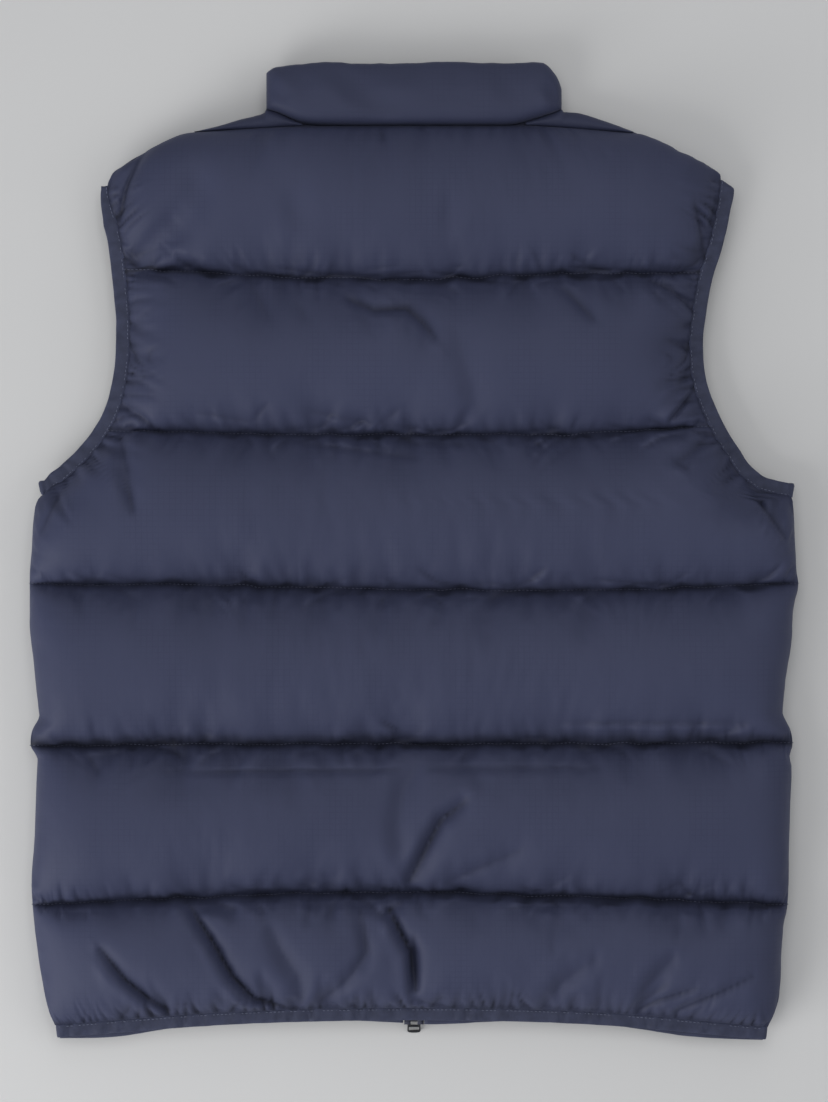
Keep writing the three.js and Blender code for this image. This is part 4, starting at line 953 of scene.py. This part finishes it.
def collar_loop(layer, x, v):
    """One section of the collar: its outer side from the seam to the top edge, and back along its inside."""
    from_fold = COLLAR_FOLD - abs(x)
    near_fold = max(0, abs(x) - FOLD_STARTS) / (COLLAR_FOLD - FOLD_STARTS)
    inner_x = x - math.copysign(8 * near_fold, x)
    wavy = 0.8 * noise.noise(Vector((x / 19, 2.5, 0))) + 0.4 * noise.noise(Vector((x / 7, 6.5, 0)))
    y = along(COLLAR_SEAM, x) * (1 - v) + (along(COLLAR_TOP, x) + wavy) * v
    padding = np.maximum(0, 1 - np.abs(2 * v**0.8 - 1) ** 2.6) ** 0.6
    padding = padding * swell(from_fold, 16) * (1.1 - 0.32 * v)
    rounded = swell(from_fold, 4)
    z = inside = INSIDE_Z
    if layer == "back":
        inside = BACK_INSIDE
        z = inside + 4.6 * rounded + 13.5 * padding
        z = z - padding * crease_field(x + 0 * v, y, COLLAR_CREASES)
        z = z + padding * 0.5 * smooth_noise(x + 0 * v, y, 17, 8)
    elif layer == "front":
        inside = FRONT_INSIDE
        top = along(COLLAR_TOP, x) - 1
        top = top * (1 - neck_share(x)) + (FRONT_NECK_Y + COLLAR_HEIGHT) * neck_share(x)
        low = NECK_Y - (NECK_Y - FRONT_NECK_Y) * neck_share(x) + 0.3
        y = low + (top - low) * v
        zipped = swell(abs(x) - ZIP_EDGE, 22)
        thick = (2.5 + 2.5 * zipped) * rounded + 15 * padding * zipped
        z = np.maximum(ABOVE_FLOOR, inside - thick + padding * 0.4 * smooth_noise(x + 0 * v, y, 14, 9))
    outer = np.stack([x + 0 * v, y, z + 0 * v], -1)
    inner = np.stack([inner_x + 0 * v, y, inside + 0 * v], -1)
    return np.concatenate([outer, inner[::-1]])


from_seam_to_top = eased(22, 0.3)
front_x = ZIP_EDGE + (COLLAR_FOLD - 1.5 - ZIP_EDGE) * np.sin(np.linspace(0, np.pi / 2, 34))
back_x = (COLLAR_FOLD - 0.6) * np.sin(np.linspace(-np.pi / 2, np.pi / 2, 90))
stations = [("front", -x) for x in front_x] + [("fold", -COLLAR_FOLD)] + [("back", x) for x in back_x]
stations += [("fold", COLLAR_FOLD)] + [("front", x) for x in front_x[::-1]]
form = swept([collar_loop(layer, x, from_seam_to_top) for layer, x in stations])
# The whole collar gets an even, light painted shade, which makes it darker than the back
collar = add_object("collar_cloth", *form, SHELL, np.full(len(form[0]), 0.13))
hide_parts("collar")
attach(collar, "vest")


# Bindings. Stretchy knitted tape, folded over the raw edges and sewn down under a slight pull, which
# leaves it softly rippled. One runs round each armhole and one along the hem as far as the zip.
BINDING_WIDTH, BINDING_THICKNESS = 10, 2.4
HEM_WIDTH = 9.2
TAPE_LEVEL = LAYER_GAP + BINDING_THICKNESS / 2
TAPE_SIDES = 14
FOOT_HEIGHT = 10
TIP_WIDTH = {"left": 4.6, "right": 10}
TIP_LEAN = {"left": 0, "right": 6}


def knit(name, colour):
    """Fine stretchy knit with a soft shine, and a painted highlight along the bend of the edge that is sewn
    down.
    """
    material, n, l, shader = nodes_of(name)
    sheen = {"Sheen Weight": 0.1, "Sheen Roughness": 0.5, "Sheen Tint": (0.7, 0.74, 0.95, 1)}
    set_inputs(shader, {"Roughness": 0.62, "Specular IOR Level": 0.2, **sheen})
    fibres = unevenness(n, l, 900.0)
    blend = math_node(n, l, "MULTIPLY", fibres, 0.3)
    blend = math_node(n, l, "ADD", blend, math_node(n, l, "MULTIPLY", unevenness(n, l, 140.0), 0.7))
    mix = mixed(n, l, blend, times(0.5, colour), times(1.5, colour))
    # Painted highlight: lighter colour on the bend at the tape's inner edge
    l.new(mixed(n, l, painted_light_of(n), mix, times(2.1, colour)), shader.inputs["Base Color"])
    l.new(bumped(n, l, fibres, 0.5, 0.0003), shader.inputs["Normal"])
    return material


BINDING = knit("binding_knit", (0.029, 0.0335, 0.0625))


def lengths_along(points):
    """How far along a line each of its points lies."""
    return np.concatenate([[0], np.cumsum(np.linalg.norm(np.diff(points, axis=0), axis=1))])


def even_path(x, y, step=3):
    """A line through places, with points at even distances."""
    points = np.stack([x, y], -1)
    gone = lengths_along(points)
    places = np.linspace(0, gone[-1], max(2, round(gone[-1] / step) + 1))
    return np.stack([np.interp(places, gone, points[:, i]) for i in range(points.shape[1])], -1)


def beside(edge, turn, level, up, width=BINDING_WIDTH, foot=0, lean=0):
    """Stations of a tape that lies beside an edge: its middle, the way across it and out of its face.
    Where it has a foot, its first end stands upright and is that high. Its last end can lean down."""
    run = np.gradient(edge, axis=0)
    run /= np.linalg.norm(run, axis=1, keepdims=True)
    across = np.stack([-run[:, 1], run[:, 0], 0 * run[:, 0]], -1) * turn
    middle = np.concatenate([edge, np.full((len(edge), 1), level)], axis=1)
    across = across * np.broadcast_to(width, len(edge))[:, None]
    if foot:
        gone = lengths_along(edge)
        share = np.clip(gone / 16, 0, 1)[:, None]
        share = share * share * (3 - 2 * share)
        across = share * across + (1 - share) * np.array([0, foot, 0])
        across = across - np.clip(1 - (gone[-1] - gone) / 16, 0, 1)[:, None] * np.array([0, lean, 0])
    middle += across * (0.5 + 0.3 / BINDING_WIDTH)
    across = across / BINDING_WIDTH
    return [(m, a, np.array([0, 0, up]), np.array([r[0], r[1], 0])) for m, a, r in zip(middle, across, run)]


def turned_over(station, onward, starts_above):
    """Stations of a tape that turns round the edge of the vest, from one side to the other."""
    middle, across = station[0], station[1]
    stations = []
    for degrees in range(15, 180, 15):
        angle = math.radians(degrees)
        rise = math.cos(angle) if starts_above else -math.cos(angle)
        up = np.array([0, 0, rise]) + onward * math.sin(angle)
        stations.append((np.array([middle[0], middle[1], INSIDE_Z]) + up * TAPE_LEVEL, across, up, onward))
    return stations


def tape_form(stations, ring, seed):
    """A softly rippled tape through its stations."""
    angles = np.linspace(0, 2 * np.pi, TAPE_SIDES, endpoint=False)
    half_w, half_t = BINDING_WIDTH / 2, BINDING_THICKNESS / 2
    outline_w = np.sign(np.cos(angles)) * np.abs(np.cos(angles)) ** 0.45 * half_w
    outline_w = np.where(outline_w < 0, outline_w - 1.1, outline_w)
    outline_t = np.sign(np.sin(angles)) * np.abs(np.sin(angles)) ** 0.5 * half_t
    sections = []
    gone = 0.0
    before = stations[0][0]
    for middle, across, up, _ in stations:
        gone += float(np.linalg.norm(middle - before))
        before = middle
        slant = gone + 0.35 * outline_w
        ripple = np.array([noise.noise(Vector((place / 4.6, seed, 0))) for place in slant])
        ripple = 1 + 2.2 * ripple + 0.6 * noise.noise(Vector((gone / 15, seed, 5)))
        wide = 1 + 0.05 * noise.noise(Vector((gone / 12, seed, 9)))
        out = np.where(outline_t > 0, outline_t * ripple * 1.25, outline_t)
        sections.append(middle + outline_w[:, None] * wide * across + out[:, None] * up)
    return swept(sections, ring)


def painted_edge_highlight(form):
    """How much painted highlight each point of a tape gets: only the bend at its inner edge gets it."""
    corner = np.tile(np.arange(TAPE_SIDES), len(form[0]) // TAPE_SIDES)
    return 0.75 * (corner == 6) + 0.2 * (corner == 5)


sewn_down = []
for side, column, turn in (("left", 0, 1), ("right", -1, -1)):
    low, high = UNDERARM[side], SHOULDER_TIP[side]
    heights = np.linspace(low + 3.4, high - 0.6, 300)
    table = LEFT_EDGE if side == "left" else RIGHT_EDGE
    back_edge = even_path(along(table, heights), heights)
    front_edge = even_path(front_edge_x(side, heights), heights)
    widths = []
    for edge in (back_edge, front_edge):
        from_tip, from_foot = high - edge[:, 1], edge[:, 1] - low
        at_tip = TIP_WIDTH[side] + (BINDING_WIDTH - TIP_WIDTH[side]) * np.clip(from_tip / 26, 0, 1)
        at_foot = FOOT_HEIGHT + (BINDING_WIDTH - FOOT_HEIGHT) * np.clip(from_foot / 24, 0, 1)
        widths.append(np.minimum(at_tip, at_foot))
    on_back = beside(back_edge, turn, INSIDE_Z + TAPE_LEVEL, 1, widths[0], FOOT_HEIGHT, TIP_LEAN[side])
    below = INSIDE_Z - TAPE_LEVEL
    on_front = beside(front_edge, turn, below, -1, widths[1], FOOT_HEIGHT, TIP_LEAN[side])
    on_front = on_front[::-1]
    tip = turned_over(on_back[-1], on_back[-1][3], True)
    foot = turned_over(on_back[0], np.array([-turn, 0, 0]), False)
    form = tape_form(on_back + tip + on_front + foot, True, 3.0 + turn)
    sewn_down += [on_back, on_front]
    binding = add_object(f"armhole_tape_{side}", *form, BINDING, painted_edge_highlight(form))
    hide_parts(f"armhole_binding_{side}")
    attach(binding, "vest")

hem_x = np.linspace(HEM_LEFT, HEM_RIGHT, 400)
left_x = np.linspace(-(ZIP_EDGE + 0.3), HEM_LEFT, 200)
right_x = np.linspace(HEM_RIGHT, ZIP_EDGE + 0.3, 200)
on_back = beside(even_path(hem_x, back_hem_y(hem_x)), -1, INSIDE_Z + TAPE_LEVEL, 1, HEM_WIDTH)
on_left = beside(even_path(left_x, front_hem_y(left_x)), 1, INSIDE_Z - TAPE_LEVEL, -1)
on_right = beside(even_path(right_x, front_hem_y(right_x)), 1, INSIDE_Z - TAPE_LEVEL, -1)
sewn_down += [on_back, on_left, on_right]
left_turn = turned_over(on_back[0], -on_back[0][3], False)
right_turn = turned_over(on_back[-1], on_back[-1][3], True)
form = tape_form(on_left + left_turn + on_back + right_turn + on_right, False, 11.0)
hem = add_object("hem_tape", *form, BINDING, painted_edge_highlight(form))
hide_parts("hem_binding")
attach(hem, "vest")


# Sewing. Short stitches of navy thread: a line along the inner edge of each binding, and one in each
# seam of the quilting, across the back and both fronts.
STITCH = (("Spacing", 0.0031), ("Length", 0.0023), ("Width", 0.00055))  # metres


def new_tree(name, sizes, material_name):
    """An empty node tree with named inputs for its sizes, in metres, and for its material."""
    tree = bpy.data.node_groups.new(name, "GeometryNodeTree")
    sockets = tree.interface
    sockets.new_socket("Geometry", in_out="INPUT", socket_type="NodeSocketGeometry")
    for size_name, value in sizes:
        size = sockets.new_socket(size_name, in_out="INPUT", socket_type="NodeSocketFloat")
        size.default_value = value
    sockets.new_socket(material_name, in_out="INPUT", socket_type="NodeSocketMaterial")
    sockets.new_socket("Geometry", in_out="OUTPUT", socket_type="NodeSocketGeometry")
    return tree, tree.nodes.new("NodeGroupInput"), tree.nodes.new("NodeGroupOutput")


def points_along(tree, start, spacing_name):
    """Points at an even spacing along the lines that come in."""
    n, l = tree.nodes, tree.links
    line = n.new("GeometryNodeMeshToCurve")
    l.new(start.outputs["Geometry"], line.inputs["Mesh"])
    points = n.new("GeometryNodeCurveToPoints")
    points.mode = "LENGTH"
    l.new(line.outputs["Curve"], points.inputs["Curve"])
    l.new(start.outputs[spacing_name], points.inputs["Length"])
    return points


def three_sizes(tree, start, names):
    """Three of the sizes that come in, along X, Y and Z."""
    size = tree.nodes.new("ShaderNodeCombineXYZ")
    for axis, name in zip("XYZ", names):
        tree.links.new(start.outputs[name], size.inputs[axis])
    return size.outputs[0]


def finish_tree(tree, start, end, points, shape, rotation, material_name):
    """Put the shape on every point, as real mesh in the given material."""
    n, l = tree.nodes, tree.links
    place = n.new("GeometryNodeInstanceOnPoints")
    l.new(points.outputs["Points"], place.inputs["Points"])
    l.new(shape, place.inputs["Instance"])
    if rotation:
        l.new(rotation, place.inputs["Rotation"])
    real = n.new("GeometryNodeRealizeInstances")
    l.new(place.outputs["Instances"], real.inputs["Geometry"])
    paint = n.new("GeometryNodeSetMaterial")
    l.new(real.outputs["Geometry"], paint.inputs["Geometry"])
    l.new(start.outputs[material_name], paint.inputs["Material"])
    l.new(paint.outputs["Geometry"], end.inputs["Geometry"])


def stitch_line():
    """Short threads laid end to end along a line, each a rounded bar that lies on the cloth."""
    tree, start, end = new_tree("stitch_line", STITCH, "Thread")
    n, l = tree.nodes, tree.links
    points = points_along(tree, start, "Spacing")
    turn = n.new("FunctionNodeAlignRotationToVector")
    turn.axis = "X"
    l.new(points.outputs["Tangent"], turn.inputs["Vector"])
    bar = n.new("GeometryNodeMeshUVSphere")
    set_inputs(bar, {"Segments": 6, "Rings": 4, "Radius": 0.5})
    shape = n.new("GeometryNodeTransform")
    l.new(bar.outputs["Mesh"], shape.inputs["Geometry"])
    l.new(three_sizes(tree, start, ("Length", "Width", "Width")), shape.inputs["Scale"])
    bars = shape.outputs["Geometry"]
    finish_tree(tree, start, end, points, bars, turn.outputs["Rotation"], "Thread")
    return tree


def along_paths(tree, name, paths, inputs):
    """The tree's result on lines given in millimetres, as a plain mesh."""
    points, links = [], []
    for path in paths:
        links += [(len(points) + i, len(points) + i + 1) for i in range(len(path) - 1)]
        points += [tuple(float(v) / 1000 for v in p) for p in path]
    data = bpy.data.meshes.new(name + "_path")
    data.from_pydata(points, links, [])
    obj = bpy.data.objects.new(name, data)
    bpy.context.scene.collection.objects.link(obj)
    modifier = obj.modifiers.new("build", "NODES")
    modifier.node_group = tree
    for item in tree.interface.items_tree:
        if item.in_out == "INPUT" and item.name in inputs:
            modifier[item.identifier] = inputs[item.name]
    evaluated = obj.evaluated_get(bpy.context.evaluated_depsgraph_get())
    made = bpy.data.meshes.new_from_object(evaluated)
    obj.modifiers.clear()
    obj.data = made
    return obj


def stitch_path(stations):
    """Where the seam runs on a tape: near its inner edge, just in its face."""
    rise = BINDING_THICKNESS / 2 * 1.22
    return [middle - across * (BINDING_WIDTH / 2 - 1.0) + up * rise for middle, across, up, _ in stations]


binding_thread = plain("navy_thread", (0.105, 0.117, 0.18), 0.6)
binding_seams = [stitch_path(stations) for stations in sewn_down]
stitches = along_paths(stitch_line(), "binding_stitches", binding_seams, {"Thread": binding_thread})
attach(stitches, "vest")

quilting_thread = plain("quilting_thread", (0.05, 0.056, 0.095), 0.7)
stitches = along_paths(stitch_line(), "quilting_stitches", quilting, {"Thread": quilting_thread})
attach(stitches, "vest")


# Zip. A closed zip of moulded plastic teeth between two woven tapes, with a metal slider and pull at
# each end. Only the pull of the lower slider shows from above, below the hem.
TOOTH = (("Pitch", 0.0026), ("Tooth Width", 0.0034), ("Tooth Height", 0.0013), ("Tooth Depth", 0.002))
CHAIN_Z = INSIDE_Z - 2.4
CHAIN_TOP = 312.2
TAPE_FROM, TAPE_TO = 2.6, 7.4  # across, from the zip's middle


def gunmetal(name):
    """Dark plated metal with fine long scratches."""
    material, n, l, shader = nodes_of(name)
    set_inputs(shader, {"Base Color": (0.026, 0.027, 0.032, 1), "Metallic": 0.5})
    spread = n.new("ShaderNodeMapRange")
    set_inputs(spread, {"To Min": 0.28, "To Max": 0.5})
    l.new(unevenness(n, l, 600.0, (1, 0.15, 1)), spread.inputs["Value"])
    l.new(spread.outputs["Result"], shader.inputs["Roughness"])
    return material


def woven(name):
    """Tape woven in fine slanting ribs."""
    material, n, l, shader = nodes_of(name)
    shader.inputs["Roughness"].default_value = 0.8
    ribs = n.new("ShaderNodeTexWave")
    set_inputs(ribs, {"Scale": 420.0, "Distortion": 0.6})
    ribs.bands_direction = "DIAGONAL"
    l.new(grain(n, l, 1.0), ribs.inputs["Vector"])
    colour = mixed(n, l, ribs.outputs["Fac"], (0.016, 0.018, 0.034), (0.034, 0.038, 0.064))
    l.new(colour, shader.inputs["Base Color"])
    l.new(bumped(n, l, ribs.outputs["Fac"], 0.4, 0.0002), shader.inputs["Normal"])
    return material


def tooth_rows():
    """Two rows of teeth that grip each other: one rounded block for each, at an even pitch."""
    tree, start, end = new_tree("tooth_rows", TOOTH, "Plastic")
    n, l = tree.nodes, tree.links
    block = n.new("GeometryNodeMeshCube")
    l.new(three_sizes(tree, start, ("Tooth Width", "Tooth Height", "Tooth Depth")), block.inputs["Size"])
    rounded = n.new("GeometryNodeSubdivisionSurface")
    set_inputs(rounded, {"Level": 1, "Edge Crease": 0.6})
    l.new(block.outputs["Mesh"], rounded.inputs["Mesh"])
    points = points_along(tree, start, "Pitch")
    finish_tree(tree, start, end, points, rounded.outputs["Mesh"], None, "Plastic")
    return tree


GUNMETAL = gunmetal("gunmetal")
for node in ("zip_slider_bottom", "zip_slider_top", "zip_pull_bottom", "zip_pull_top"):
    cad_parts[node].data.materials.clear()
    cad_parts[node].data.materials.append(GUNMETAL)

# Each row's x and its lowest tooth; the right row lies half a pitch higher
rows = [[(x, low, CHAIN_Z), (x, CHAIN_TOP, CHAIN_Z)] for x, low in ((-1.25, -346.4), (1.25, -345.1))]
plastic = plain("zip_plastic", (0.012, 0.013, 0.022), 0.34)
teeth = along_paths(tooth_rows(), "zip_teeth", rows, {"Plastic": plastic})
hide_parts("zip_chain")
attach(teeth, "vest")

ZIP_WOVEN = woven("zip_woven")
for side, sign in (("left", -1), ("right", 1)):
    sections = []
    for height in np.linspace(-361, 321, 273):
        soft = 0.12 * noise.noise(Vector((height / 9, sign, 0)))
        bottom, top = 15.0 + soft, 16.15 + soft
        inner, outer = TAPE_FROM * sign, TAPE_TO * sign
        loop = ((inner, bottom), (outer, bottom), (outer, top), (inner, top))
        sections.append([(x, height, z) for x, z in loop])
    tape = add_object(f"zip_woven_{side}", *swept(sections), ZIP_WOVEN)
    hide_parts(f"zip_tape_{side}")
    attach(tape, "vest")


# Sizes, to compare with those of the solids
visual_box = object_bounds()
boxes = {"cad": cad_box, "visual": visual_box}
{key: [list(corner) for corner in corners] for key, corners in boxes.items()}
